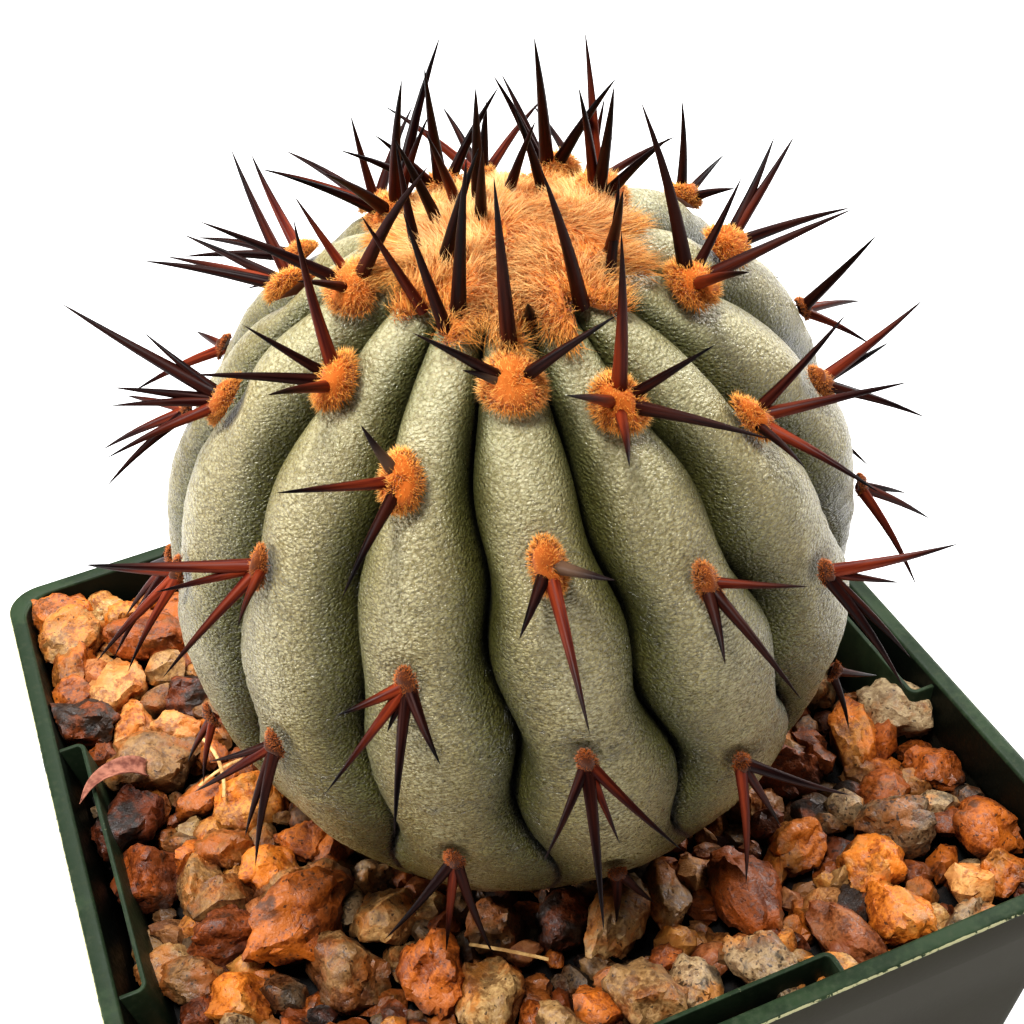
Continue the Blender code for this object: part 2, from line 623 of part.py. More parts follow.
def make_areoles(parts, work, material):
    """Seat a wool pad with its spines on each rib, one node each below the crown's own wool."""
    draw = random.Random(SPINE_SEED)
    crown = add_object("crown_wool", make_cap(), parts, material)
    young = []
    for rib, levels in AREOLES.items():
        for number, (polar, aside, listed) in enumerate(levels):
            place = rib + aside
            spines = listed or spines_by_age(polar, draw)
            if polar < CROWN_EDGE:
                young.append((polar, place, spines))
                continue
            name = "areole_%02d_%s" % (rib, "abcd"[number])
            pad = add_object(name, make_pad(polar, place), parts, material)
            for spine in spines:
                add_spine(work, polar, place, spine, SPINE_ROOT_SPREAD)
            boolean(pad, work, "UNION", "MANIFOLD")
    for polar, place, spines in young:
        add_object("young_pad", make_pad(polar, place), work)
        for spine in spines:
            add_spine(work, polar, place, spine, SPINE_ROOT_SPREAD)
    for place, polar, *spine in CROWN_SPINES:
        add_spine(work, polar, place, spine, 0.0)
    boolean(crown, work, "UNION", "MANIFOLD")


def main():
    """Build every piece of the potted cactus."""
    clear_scene()
    parts = new_collection("potted_copiapoa")
    work = new_collection("cutters")
    paints = {key: new_material(*value) for key, value in COLOURS.items()}
    make_pot(parts, work, paints["pot"])
    make_soil(parts, work, paints["soil"])
    make_gravel(parts, work, paints["gravel"])
    make_stem(parts, work, paints["stem"])
    make_areoles(parts, work, paints["wool"])


main()
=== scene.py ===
import math
import random

import bpy
import numpy as np
from mathutils import Matrix, Vector


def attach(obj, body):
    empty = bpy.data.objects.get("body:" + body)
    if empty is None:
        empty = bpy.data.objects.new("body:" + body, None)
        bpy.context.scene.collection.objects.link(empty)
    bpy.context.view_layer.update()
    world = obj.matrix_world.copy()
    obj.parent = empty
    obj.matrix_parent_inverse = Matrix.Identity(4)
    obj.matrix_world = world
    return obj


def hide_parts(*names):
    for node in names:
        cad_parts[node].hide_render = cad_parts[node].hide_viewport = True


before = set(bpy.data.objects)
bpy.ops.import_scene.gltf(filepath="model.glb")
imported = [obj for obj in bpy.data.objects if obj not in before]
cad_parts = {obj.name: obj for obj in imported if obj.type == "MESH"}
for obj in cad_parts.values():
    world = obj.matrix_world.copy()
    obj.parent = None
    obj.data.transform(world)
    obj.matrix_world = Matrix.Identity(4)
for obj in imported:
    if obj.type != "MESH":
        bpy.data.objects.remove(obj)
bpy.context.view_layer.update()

MM = 0.001

# Pot
POT_HEIGHT = 88.0 * MM
INNER_HALF_TOP = 49.1 * MM
INNER_HALF_FLOOR = 36.4 * MM
WALL = 1.1 * MM
RIM_BOTTOM = 81.6 * MM
RIM_INSET = 0.2 * MM
RIM_THICKNESS = 2.1 * MM
RIM_ROUNDING = 0.45 * MM
FOOT_CORNER_RADIUS = 3.1 * MM
CORNER_STEPS = 8
SLOT_HALF_LENGTH = 18.95 * MM
SLOT_GAP = 2.4 * MM
SLOT_WALL = 0.55 * MM
SLOT_TOP = 87.2 * MM
SLOT_BOTTOM = 76.2 * MM
SLOT_CORNER = 0.6 * MM
SLOT_ROOT = 0.6 * MM
SLOT_EDGE = 0.16 * MM
FOOT_STEP = 0.5 * MM
DRAIN_RADIUS = 4.0 * MM
DRAIN_PLACE = 24.0 * MM

# Gravel
BED_TOP = 80.2 * MM
BED_FLOOR = 75.0 * MM
STONE_COUNT = 103
STONE_TRIES = 60
STONE_HALF = (3.2 * MM, 4.6 * MM)
STONE_GROWTH = 1.14
STONE_LIFT = (0.25, 0.55)
STONE_EDGE_SHARE = 0.55
STONE_SEED = 11
ROOT_PLACE = (4.5 * MM, 2.5 * MM)
GAP = 0.3 * MM
CORNER_HEAP = 3.0 * MM
HEAP_START = 62.0 * MM
HEAP_REACH = 24.0 * MM
BED_DROP = 2.6 * MM
BED_THICKNESS = 3.0 * MM
STONE_ROOT_CLEAR = 15.0 * MM
PEBBLE_ROOT_CLEAR = 13.0 * MM

# The larger stones that show round the plant: x, y, length and width in mm and turn in degrees, by colour
SHOWN_STONES = {
    "rust": ((-45, 47, 8, 7, 140), (-46, 32, 6, 6, 175), (-43, 0, 8, 8, 170), (-25, -3, 7, 5, 135),
             (-37, -12, 8, 7, 5), (-29, -15, 13, 9, 10), (-17, -26, 11, 7, 80), (45, -36, 8, 7, 140),
             (45, -26, 6, 6, 165)),
    "orange": ((-45, 37, 8, 5, 75), (-37, 43, 7, 6, 0), (-30, 42, 6, 6, 35), (-35, 38, 10, 7, 150),
               (-35, 9, 6, 4, 15), (-29, 6, 9, 8, 170), (-30, -5, 6, 6, 25), (-38, -20, 7, 6, 170),
               (17, -33, 11, 7, 85), (30, -42, 8, 6, 95), (31, -35, 7, 7, 110), (39, -18, 10, 5, 70),
               (38, -26, 6, 6, 120), (25, -29, 7, 6, 30), (43, -42, 6, 5, 80)),
    "peach": ((-40, 31, 9, 7, 70), (-40, 24, 8, 5, 65), (-35, 22, 6, 5, 145)),
    "cream": ((-39, 46, 6, 5, 75), (-39, 17, 11, 9, 175), (-44, -13, 6, 5, 5), (-26, -22, 9, 8, 140),
              (-13, -33, 8, 7, 80), (3, -30, 12, 6, 55), (2, -39, 9, 7, 95)),
    "tan": ((-44, 42, 9, 7, 35), (-38, -4, 8, 5, 70), (-28, -9, 9, 5, 0), (-42, -16, 7, 5, 155),
            (-20, -18, 7, 7, 15), (-9, -24, 7, 6, 60), (9, -29, 9, 5, 70), (20, -45, 7, 4, 135)),
    "grey": ((-20, -11, 6, 4, 140), (7, -40, 7, 5, 80), (14, -42, 9, 5, 105), (36, -32, 8, 7, 170),
             (36, -46, 7, 4, 35)),
    "dark": ((-32, 27, 7, 6, 160), (-46, 26, 9, 7, 140), (-44, 8, 9, 7, 45), (-2, -27, 7, 6, 55)),
    "amber": ((-34, 0, 7, 5, 130),),
    "salmon": ((24, -42, 10, 5, 105),),
    "pale": ((46, -17, 9, 8, 120),),
}

# The smaller stones that show between them, written the same way
SHOWN_PEBBLES = {
    "rust": ((-3.5, -38, 5, 5, 120), (39, -37, 5, 3, 35), (42, -20, 6, 3, 55)),
    "orange": ((-29, 36, 6, 4, 55), (-30, 30, 4, 3, 75), (-31, 20, 5, 4, 110), (-40, 7, 4, 3, 65),
               (-35, 4, 4, 4, 0), (-23.5, -26, 5, 4, 170), (22, -30, 7, 3, 50), (22, -36, 3, 3, 130)),
    "peach": ((-45, 19, 4, 4, 140), (-42.5, -8, 6, 4, 155), (39, -42.5, 5, 5, 95), (25, -22, 5, 4, 45)),
    "cream": ((-37, 6, 4, 4, 0), (17, -42, 5, 5, 135)),
    "tan": ((-34, 32, 5, 5, 20), (-30.5, 24, 4, 3, 150), (-34, 13, 5, 4, 0), (-36, -7, 7, 5, 5),
            (-45, -7, 5, 5, 145), (10, -44, 5, 4, 45), (33, -22, 5, 4, 130), (38, -46.5, 5, 4, 170),
            (12, -36, 4, 4, 160), (31, -16, 5, 4, 20)),
    "grey": ((-41.5, 37.5, 6, 4, 115), (-37.5, 34, 4, 4, 165), (-33, -21, 5, 4, 145), (-21.5, -8, 4, 4, 120),
             (-4, -33, 5, 4, 105), (33, -27, 5, 4, 135), (42, -31, 4, 4, 125), (46.5, -31, 5, 4, 5)),
    "dark": ((29, -25, 4, 4, 145),),
}

# How the gravel's colours look: body, second and stain colours, how much stain, and dark specks
STONE_COLOURS = {
    "rust": ((178, 104, 46), (98, 62, 38), (216, 124, 38), 0.55, 0.55),
    "orange": ((212, 148, 76), (152, 108, 68), (226, 130, 38), 0.65, 0.30),
    "peach": ((226, 170, 114), (192, 138, 90), (220, 134, 62), 0.40, 0.12),
    "cream": ((228, 198, 150), (160, 132, 98), (214, 144, 68), 0.40, 0.40),
    "tan": ((194, 158, 112), (126, 102, 76), (204, 132, 62), 0.45, 0.40),
    "grey": ((172, 154, 130), (82, 74, 64), (192, 134, 74), 0.35, 0.85),
    "dark": ((62, 44, 30), (28, 22, 18), (156, 82, 26), 0.45, 0.60),
    "amber": ((220, 160, 86), (180, 124, 62), (228, 140, 52), 0.35, 0.08),
    "salmon": ((224, 150, 98), (196, 120, 72), (232, 168, 116), 0.25, 0.08),
    "pale": ((216, 202, 178), (148, 132, 114), (198, 144, 92), 0.25, 0.45),
}
COMMON_KINDS = ("orange", "tan", "grey", "rust", "cream", "peach", "grey", "orange", "tan", "rust", "dark",
                "amber", "salmon", "orange")
CHIP_SHAPES = 18
CHIP_CUTS = 13
CHIP_VOXEL = 0.085
CHIP_FACES = 1100
PEBBLE_FACES = 170
PEBBLE_COUNT = 640
PEBBLE_HALF = (1.4 * MM, 3.1 * MM)

# Stem: an ellipsoid that leans forward, with rounded ribs whose furrows wander
STEM_CENTRE = np.array((4.0, -6.2, 119.1)) * MM
STEM_RADIUS = 35.3 * MM
BACK_DROP = 3.4 * MM
STEM_HALF_HEIGHT = 42.4 * MM
LEAN_SIDE = math.radians(-0.8)
LEAN_FRONT = math.radians(-15.2)
RIBS = 14
RIB_STEP = 360.0 / RIBS
FIRST_RIB = -104.8
RIB_TWIST = 9.6 / 50.0
TWIST_CENTRE = 50.0
FURROW_DEPTH = 5.4 * MM
FURROW_WANDER = 2.6
FLANK = 0.46
SWELL_HEIGHT = 0.45 * MM
SWELL_BELOW_AREOLE = 14.0
SWELL_LENGTH = 10.0
STEM_COLUMNS = 32
STEM_RINGS = 204
CREASE_DEPTH = 1.8 * MM
PIT_DEPTH = 0.5 * MM

# Wool and spines
WOOL_LIFT = 0.4 * MM
CAP_REACH = 16.9
CAP_LOBE = 2.6
CAP_HEIGHT = 1.6 * MM
CROWN_EDGE = 24.0
SPINE_SEED = 5
SPINE_ROOT_LIFT = 1.25 * MM
SPINE_ROOT_SPREAD = 0.75 * MM
SPINE_BEND = 0.035
SPINE_SIDES = 10
SPINE_TAPER = 0.82
SPINE_RADIUS = 0.30 * MM
SPINE_STOUTNESS = 0.026
SHORT_SPINE = 8.0 * MM
SPINE_TONES = {"00_a": (2.0, 0.3, 0.2), "00_b": (2.0, 0.1, 1.0), "01_b": (0.7, 0.1, 0.3),
               "13_a": (2.0, 0.8, 0.0), "01_a": (0.9, 0.0, 0.1, 1.0, 0.9)}
HAIR_SEED = 23
PAD_HAIRS = 1750
CROWN_HAIRS = 17000

# Areoles down each rib: polar angle from the crown in degrees, how far it sits aside of the ridge in rib
# places, then each spine's turn from the crown's direction, its lift off the skin and its length in mm.
# An empty list takes them from the rule in spines_by_age.
AREOLES = {
    0: ((22.5, 0.0, ((-85, 50, 5), (-72, 50, 11), (77, 51, 12))),
        (44.8, 0.03, ((98, 55, 7), (-134, 48, 7), (-179, 40, 14))),
        (73.0, -0.04, ((-130, 33, 9), (174, 24, 8), (-168, 32, 15), (144, 30, 11))),
        (105.0, -0.05, ((-165, 33, 7), (150, 33, 6)))),
    1: ((28.2, 0.14, ((10, 50, 16), (91, 53, 9), (152, 48, 13), (-69, 50, 11), (-127, 50, 10))),
        (53.5, 0.04, ((114, 46, 8), (-176, 44, 12), (-136, 43, 7))),
        (86.5, -0.15, ((-154, 26, 13), (175, 24, 10), (138, 29, 13)))),
    2: ((41.5, 0.2, ((83, 43, 11), (134, 42, 13), (-158, 44, 12), (-110, 50, 8))),
        (67.5, -0.1, ((127, 30, 15), (147, 26, 9), (-164, 27, 14), (-178, 27, 13))),
        (97.0, -0.05, ((147, 33, 9), (-160, 30, 8)))),
    3: ((26.0, 0.14, ((17, 42, 17), (93, 51, 9), (158, 52, 14), (-77, 54, 12))),
        (52.2, 0.0, ((122, 38, 14), (133, 34, 9), (-175, 34, 11))),
        (80.0, 0.0, ((-130, 24, 12), (165, 41, 8), (180, 40, 12)))),
    4: ((35.0, 0.0, ((130, 39, 13), (122, 36, 12), (180, 40, 12))),
        (61.0, 0.0, ((-15, 41, 13), (-135, 30, 8), (170, 34, 11))),
        (90.0, 0.0, ())),
    5: ((16.5, -0.1, ((8, 62, 12), (-22, 64, 14), (-72, 58, 11), (95, 58, 13))),
        (42.0, 0.0, ((20, 47, 10), (-75, 38, 5), (170, 41, 8))),
        (69.0, 0.0, ()), (99.0, 0.0, ())),
    6: ((20.5, 0.2, ((5, 55, 17), (-38, 52, 14), (60, 56, 10), (110, 52, 9))),
        (50.0, 0.0, ()), (78.0, 0.0, ())),
    7: ((44.0, 0.0, ()), (66.0, 0.0, ()), (92.0, 0.0, ())),
    8: ((22.0, 0.0, ((16, 55, 16), (60, 50, 10), (-42, 50, 11), (90, 40, 10))),
        (47.0, 0.0, ()), (74.0, 0.0, ()), (103.0, 0.0, ())),
    9: ((21.0, 0.05, ((-60, 50, 15), (8, 56, 16), (60, 44, 14), (-20, 50, 10), (110, 50, 11))),
        (45.0, 0.0, ((-120, 48, 13), (150, 40, 11), (180, 38, 12))),
        (72.0, 0.0, ()), (101.0, 0.0, ())),
    10: ((36.5, -0.18, ((-90, 50, 13), (-165, 40, 12), (-148, 38, 12), (180, 48, 13))),
         (63.0, 0.0, ()), (92.0, 0.0, ())),
    11: ((21.2, -0.06, ((-150, 52, 13), (-94, 52, 8), (22, 41, 16), (118, 60, 8))),
         (46.0, -0.2, ((-102, 45, 17), (-135, 45, 10), (-148, 45, 10), (171, 44, 11), (-88, 46, 9))),
         (71.0, 0.0, ((-172, 33, 13), (150, 36, 10), (-120, 34, 11))),
         (99.0, 0.0, ((-163, 33, 9), (165, 33, 8)))),
    12: ((30.0, -0.22, ((-23, 48, 14), (-94, 51, 8), (-138, 50, 11), (125, 69, 11))),
         (56.0, -0.15, ((-106, 40, 15), (-125, 39, 9), (-177, 45, 12), (105, 53, 8))),
         (81.5, 0.0, ((-135, 23, 12), (-122, 22, 8), (-171, 26, 11), (178, 27, 13)))),
    13: ((36.5, -0.13, ((-30, 46, 6), (-107, 46, 10), (178, 47, 12))),
         (61.5, 0.0, ((-104, 36, 6), (-143, 31, 11), (178, 34, 12), (139, 36, 7), (-159, 25, 4))),
         (94.2, 0.03, ((-135, 28, 12), (-168, 26, 12), (167, 26, 12)))),
}

# Young spines that stand in the crown's wool: rib place, polar angle, turn, lift, length in mm
CROWN_SPINES = (
    (8.9, 8.5, 60, 68, 11), (8.2, 7.0, 17, 70, 15), (9.7, 3.5, 50, 70, 12), (11.9, 10.0, 29, 66, 14),
    (13.0, 14.5, 10, 68, 16), (0.0, 18.0, -4, 68, 18), (12.9, 17.0, -35, 64, 12),
    (12.3, 16.0, -70, 60, 10), (11.1, 12.0, -59, 66, 10), (1.6, 15.0, -24, 64, 16),
    (3.0, 14.0, -66, 66, 13), (2.4, 15.5, 37, 64, 10), (0.5, 14.0, -143, 74, 6), (6.9, 8.0, -44, 68, 9),
    (5.8, 10.0, 30, 66, 10), (10.0, 9.0, 95, 76, 12),
)

# Camera and light
CAMERA_TARGET = Vector((16.67, 33.97, 88.0)) * MM
CAMERA_DISTANCE = 221.55 * MM
CAMERA_TURN = math.radians(-17.12)
CAMERA_HEIGHT = math.radians(38.89)
CAMERA_ROLL = math.radians(-7.49)
CAMERA_LENS = 56.75
FLOOR_SIZE = 6.0
ROOM_LIGHT = 0.10
LIGHTS = (("key", (-0.12, -0.18, 0.84), 0.18, 7.8), ("top", (0.1, 0.42, 0.74), 0.40, 4.2),
          ("left", (-0.72, 0.24, 0.42), 0.32, 6.0), ("right", (0.72, 0.30, 0.45), 0.32, 6.6))

# Dry scraps on the gravel: a curled husk and three straws, each as points in mm
HUSK_HALF_WIDTH = 2.3 * MM
HUSK_THICKNESS = 0.14 * MM
STRAW_RADIUS = 0.22 * MM
STRAW_CUTS = 12
HUSK = ((-48.0, 9.0, 87.6), (-45.6, 11.2, 88.0), (-43.0, 12.4, 87.4), (-40.0, 12.6, 85.4))
STRAWS = (((-34.5, 7.6, 85.2), (-31.0, 8.4, 86.0), (-28.5, 9.5, 85.0)),
          ((-32.3, 14.5, 85.6), (-31.4, 9.0, 86.2), (-32.2, 4.7, 85.0)),
          ((-13.1, -27.3, 84.6), (-9.6, -30.6, 85.4), (-6.3, -32.7, 84.6)))


# Small tools


def select_only(*pieces):
    """Select these objects alone, the last one active."""
    bpy.ops.object.select_all(action="DESELECT")
    for piece in pieces:
        piece.select_set(True)
        bpy.context.view_layer.objects.active = piece


def edit(piece, mode="VERT"):
    """Open one object in edit mode with all of it selected."""
    select_only(piece)
    bpy.ops.object.mode_set(mode="EDIT")
    bpy.ops.mesh.select_mode(type=mode)
    bpy.ops.mesh.select_all(action="SELECT")


def done():
    """Leave edit mode."""
    bpy.ops.object.mode_set(mode="OBJECT")


def choose(piece, part, wanted):
    """In edit mode, select only the vertices, edges or faces that pass a test on their points."""
    bpy.ops.mesh.select_all(action="DESELECT")
    bpy.ops.object.mode_set(mode="OBJECT")
    points = piece.data.vertices
    for item in getattr(piece.data, part):
        corners = [item] if part == "vertices" else [points[index] for index in item.vertices]
        item.select = wanted([corner.co for corner in corners])
    bpy.ops.object.mode_set(mode="EDIT")


def apply_all(piece):
    """Apply an object's modifiers in their order."""
    select_only(piece)
    for modifier in list(piece.modifiers):
        bpy.ops.object.modifier_apply(modifier=modifier.name)


def points_of(piece):
    """Return an object's points as an array."""
    flat = np.empty(len(piece.data.vertices) * 3)
    piece.data.vertices.foreach_get("co", flat)
    return flat.reshape(-1, 3)


def set_points(piece, points):
    """Move an object's points to the places in an array."""
    piece.data.vertices.foreach_set("co", np.ascontiguousarray(points, dtype=np.float32).ravel())
    piece.data.update()


def set_values(piece, name, values):
    """Store one number for each point, for a material to read."""
    layer = piece.data.attributes.new(name, "FLOAT", "POINT")
    layer.data.foreach_set("value", np.ascontiguousarray(values, dtype=np.float32))


def smooth(piece, angle=None):
    """Shade an object smooth, all over or below an angle."""
    select_only(piece)
    if angle is None:
        bpy.ops.object.shade_smooth()
    else:
        bpy.ops.object.shade_smooth_by_angle(angle=math.radians(angle))


def finish_piece(piece, name, material, slot, *nodes):
    """Name a piece, give it its material, hang it under the root and hide the CAD nodes that it stands for.
    """
    piece.name = name
    piece.data.name = name
    piece.data.materials.clear()
    piece.data.materials.append(material)
    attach(piece, "root")
    if nodes:
        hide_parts(*nodes)
    return piece


def smooth_ramp(low, high, value):
    """Rise smoothly from 0 at low to 1 at high."""
    t = np.clip((value - low) / (high - low), 0.0, 1.0)
    return t * t * (3.0 - 2.0 * t)


def unit(vectors):
    """Scale vectors to length one."""
    return vectors / np.maximum(np.linalg.norm(vectors, axis=-1, keepdims=True), 1e-12)


def ripple(points, size, seed, waves=9):
    """Return a smooth uneven pattern, about -1 to 1, with features of a given size."""
    draw = np.random.default_rng(seed)
    total = np.zeros(len(points))
    for wave in range(waves):
        way = unit(draw.normal(size=3))
        rate = 2.0 * math.pi / size * draw.uniform(0.6, 1.5)
        total += np.sin(points @ way * rate + draw.uniform(0.0, 2.0 * math.pi))
    return total / math.sqrt(waves)


# Copies of a shape that is modelled once


def read_shape(piece):
    """Return the points and faces of a modelled shape and remove its object."""
    points = points_of(piece)
    faces = [np.array(face.vertices) for face in piece.data.polygons]
    mesh = piece.data
    bpy.data.objects.remove(piece, do_unlink=True)
    bpy.data.meshes.remove(mesh)
    return points, faces


def thorn_shape(sides, cuts):
    """Model one upright cone of unit height and base radius, with rings at these shares of its height."""
    bpy.ops.mesh.primitive_cone_add(vertices=sides, radius1=1.0, radius2=0.0, depth=1.0,
                                    location=(0.0, 0.0, 0.5))
    cone = bpy.context.object
    bpy.ops.object.transform_apply(location=True)
    edit(cone)
    for cut in cuts:
        bpy.ops.mesh.select_all(action="SELECT")
        bpy.ops.mesh.bisect(plane_co=(0.0, 0.0, cut), plane_no=(0.0, 0.0, 1.0))
    done()
    return read_shape(cone)


def join_shapes(name, shapes):
    """Make one object from a list of points and faces."""
    points = np.concatenate([points for points, faces in shapes])
    sizes = np.concatenate([[len(face) for face in faces] for points, faces in shapes])
    loops = []
    start = 0
    for group, faces in shapes:
        loops.append(np.concatenate(faces) + start)
        start += len(group)
    loops = np.concatenate(loops)
    mesh = bpy.data.meshes.new(name)
    mesh.vertices.add(len(points))
    mesh.vertices.foreach_set("co", np.ascontiguousarray(points, dtype=np.float32).ravel())
    mesh.loops.add(len(loops))
    mesh.loops.foreach_set("vertex_index", loops.astype(np.int32))
    mesh.polygons.add(len(sizes))
    starts = np.concatenate(([0], np.cumsum(sizes)[:-1]))
    mesh.polygons.foreach_set("loop_start", starts.astype(np.int32))
    mesh.update(calc_edges=True)
    mesh.validate()
    piece = bpy.data.objects.new(name, mesh)
    bpy.context.scene.collection.objects.link(piece)
    return piece


def join_copies(name, shape, copies):
    """Make one object from copies of a shape. Copies holds each one's points."""
    return join_shapes(name, [(points, shape[1]) for points in copies])


def grow(shape, roots, ways, radii, lengths, taper, bends, bend_at):
    """Place copies of a thorn: each starts at its root, tapers along its way and bends aside.

    bend_at gives, for shares of the height, how much of the bend applies there.
    """
    points = shape[0]
    share = points[:, 2]
    fuller = np.where(share < 0.999, np.maximum(1.0 - share, 1e-6) ** (taper - 1.0), 1.0)
    helper = np.where(np.abs(ways[:, 2:3]) < 0.9, (0.0, 0.0, 1.0), (1.0, 0.0, 0.0))
    right = unit(np.cross(ways, helper))
    ahead = np.cross(ways, right)
    flat = (right[:, None, :] * (points[:, 0] * fuller)[None, :, None]
            + ahead[:, None, :] * (points[:, 1] * fuller)[None, :, None])
    copies = roots[:, None, :] + flat * radii[:, None, None]
    copies += ways[:, None, :] * (lengths[:, None] * share[None, :])[:, :, None]
    copies += bends[:, None, :] * bend_at(share)[None, :, None]
    return copies


# Material tools


def linear(colour):
    """Turn a picture colour of 0 to 255 into the shader's linear values."""
    parts = [value / 255.0 for value in colour]
    return tuple(p / 12.92 if p <= 0.04045 else ((p + 0.055) / 1.055) ** 2.4 for p in parts) + (1.0,)


def add_node(tree, kind, inputs=None, **settings):
    """Add a node, set it, and fill or link its inputs."""
    item = tree.nodes.new(kind)
    for key, value in settings.items():
        setattr(item, key, value)
    for key, value in (inputs or {}).items():
        if isinstance(value, bpy.types.NodeSocket):
            tree.links.new(value, item.inputs[key])
        else:
            item.inputs[key].default_value = value
    return item


def new_material(name, roughness, **shine):
    """Return a new material, its node tree, its shader and its Object coordinates."""
    material = bpy.data.materials.new(name)
    material.use_nodes = True
    tree = material.node_tree
    shader = tree.nodes["Principled BSDF"]
    shader.inputs["Roughness"].default_value = roughness
    for key, value in shine.items():
        shader.inputs[key.replace("_", " ")].default_value = value
    place = add_node(tree, "ShaderNodeTexCoord").outputs["Object"]
    return material, tree, shader, place


def noise(tree, place, size, detail=3.0, roughness=0.55, stretch=None):
    """Return the value of a noise whose features have a real size in metres."""
    if stretch:
        place = add_node(tree, "ShaderNodeMapping", {"Vector": place, "Scale": stretch}).outputs["Vector"]
    made = add_node(tree, "ShaderNodeTexNoise", {"Vector": place, "Scale": 1.0 / size, "Detail": detail,
                                                 "Roughness": roughness})
    return made.outputs["Fac"]


def ramp(tree, value, low, high, to_low=0.0, to_high=1.0):
    """Map a value from one range to another, smoothly and held at the ends."""
    made = add_node(tree, "ShaderNodeMapRange",
                    {"Value": value, "From Min": low, "From Max": high, "To Min": to_low, "To Max": to_high},
                    interpolation_type="SMOOTHSTEP")
    return made.outputs["Result"]


def maths(tree, operation, first, second=0.0):
    """Return the result of one sum on two values."""
    made = add_node(tree, "ShaderNodeMath", {0: first, 1: second}, operation=operation)
    return made.outputs["Value"]


def mix(tree, share, first, second, blend="MIX"):
    """Mix two colours."""
    made = add_node(tree, "ShaderNodeMix", {"Factor": share}, data_type="RGBA", blend_type=blend)
    for socket, value in (("A", first), ("B", second)):
        target = next(s for s in made.inputs if s.name == socket and s.type == "RGBA")
        if isinstance(value, bpy.types.NodeSocket):
            tree.links.new(value, target)
        else:
            target.default_value = value if len(value) == 4 else linear(value)
    return next(s for s in made.outputs if s.type == "RGBA")


def stored(tree, name):
    """Return a number stored on the mesh."""
    return add_node(tree, "ShaderNodeAttribute", attribute_name=name).outputs["Fac"]


def bump(tree, shader, height, depth, strength=1.0):
    """Feed a bump of a real depth to the shader."""
    made = add_node(tree, "ShaderNodeBump", {"Height": height, "Distance": depth, "Strength": strength})
    tree.links.new(made.outputs["Normal"], shader.inputs["Normal"])


def make_grain_group():
    """Build the shared grain: two sizes of noise that give a mask of patches and a height."""
    group = bpy.data.node_groups.new("weathered grain", "ShaderNodeTree")
    face = group.interface
    face.new_socket("Vector", in_out="INPUT", socket_type="NodeSocketVector")
    for name, value in (("Patch Scale", 300.0), ("Grain Scale", 2000.0), ("Patch Level", 0.5)):
        face.new_socket(name, in_out="INPUT", socket_type="NodeSocketFloat").default_value = value
    for name in ("Patches", "Grain", "Height"):
        face.new_socket(name, in_out="OUTPUT", socket_type="NodeSocketFloat")
    enter = group.nodes.new("NodeGroupInput")
    leave = group.nodes.new("NodeGroupOutput")
    vector = enter.outputs["Vector"]
    wide = add_node(group, "ShaderNodeTexNoise", {"Vector": vector, "Scale": enter.outputs["Patch Scale"],
                                                  "Detail": 4.0, "Roughness": 0.6}).outputs["Fac"]
    fine = add_node(group, "ShaderNodeTexNoise", {"Vector": vector, "Scale": enter.outputs["Grain Scale"],
                                                  "Detail": 3.0, "Roughness": 0.65}).outputs["Fac"]
    level = enter.outputs["Patch Level"]
    above = maths(group, "SUBTRACT", maths(group, "ADD", wide, maths(group, "MULTIPLY", fine, 0.15)), level)
    group.links.new(ramp(group, above, 0.02, 0.16), leave.inputs["Patches"])
    group.links.new(fine, leave.inputs["Grain"])
    height = maths(group, "ADD", maths(group, "MULTIPLY", wide, 0.6), maths(group, "MULTIPLY", fine, 0.4))
    group.links.new(height, leave.inputs["Height"])
    return group


GRAIN = make_grain_group()


def grain(tree, place, patch_size, grain_size, level=0.5):
    """Place the shared grain in a material, with its sizes in metres."""
    made = tree.nodes.new("ShaderNodeGroup")
    made.node_tree = GRAIN
    tree.links.new(place, made.inputs["Vector"])
    made.inputs["Patch Scale"].default_value = 1.0 / patch_size
    made.inputs["Grain Scale"].default_value = 1.0 / grain_size
    made.inputs["Patch Level"].default_value = level
    return made.outputs


# Materials


def cells(tree, place, size, stretch):
    """Return the distance from the middle of small cells of a real size."""
    place = add_node(tree, "ShaderNodeMapping", {"Vector": place, "Scale": stretch}).outputs["Vector"]
    made = add_node(tree, "ShaderNodeTexVoronoi", {"Vector": place, "Scale": 1.0 / size}, feature="F1")
    return made.outputs["Distance"]


def cracks(tree, place, size, stretch, width):
    """Return thin wandering lines, 1 on a line and 0 beside it."""
    wavy = noise(tree, place, size, 2.0, 0.6, stretch)
    away = maths(tree, "ABSOLUTE", maths(tree, "SUBTRACT", wavy, 0.5))
    return ramp(tree, away, width, 0.0)


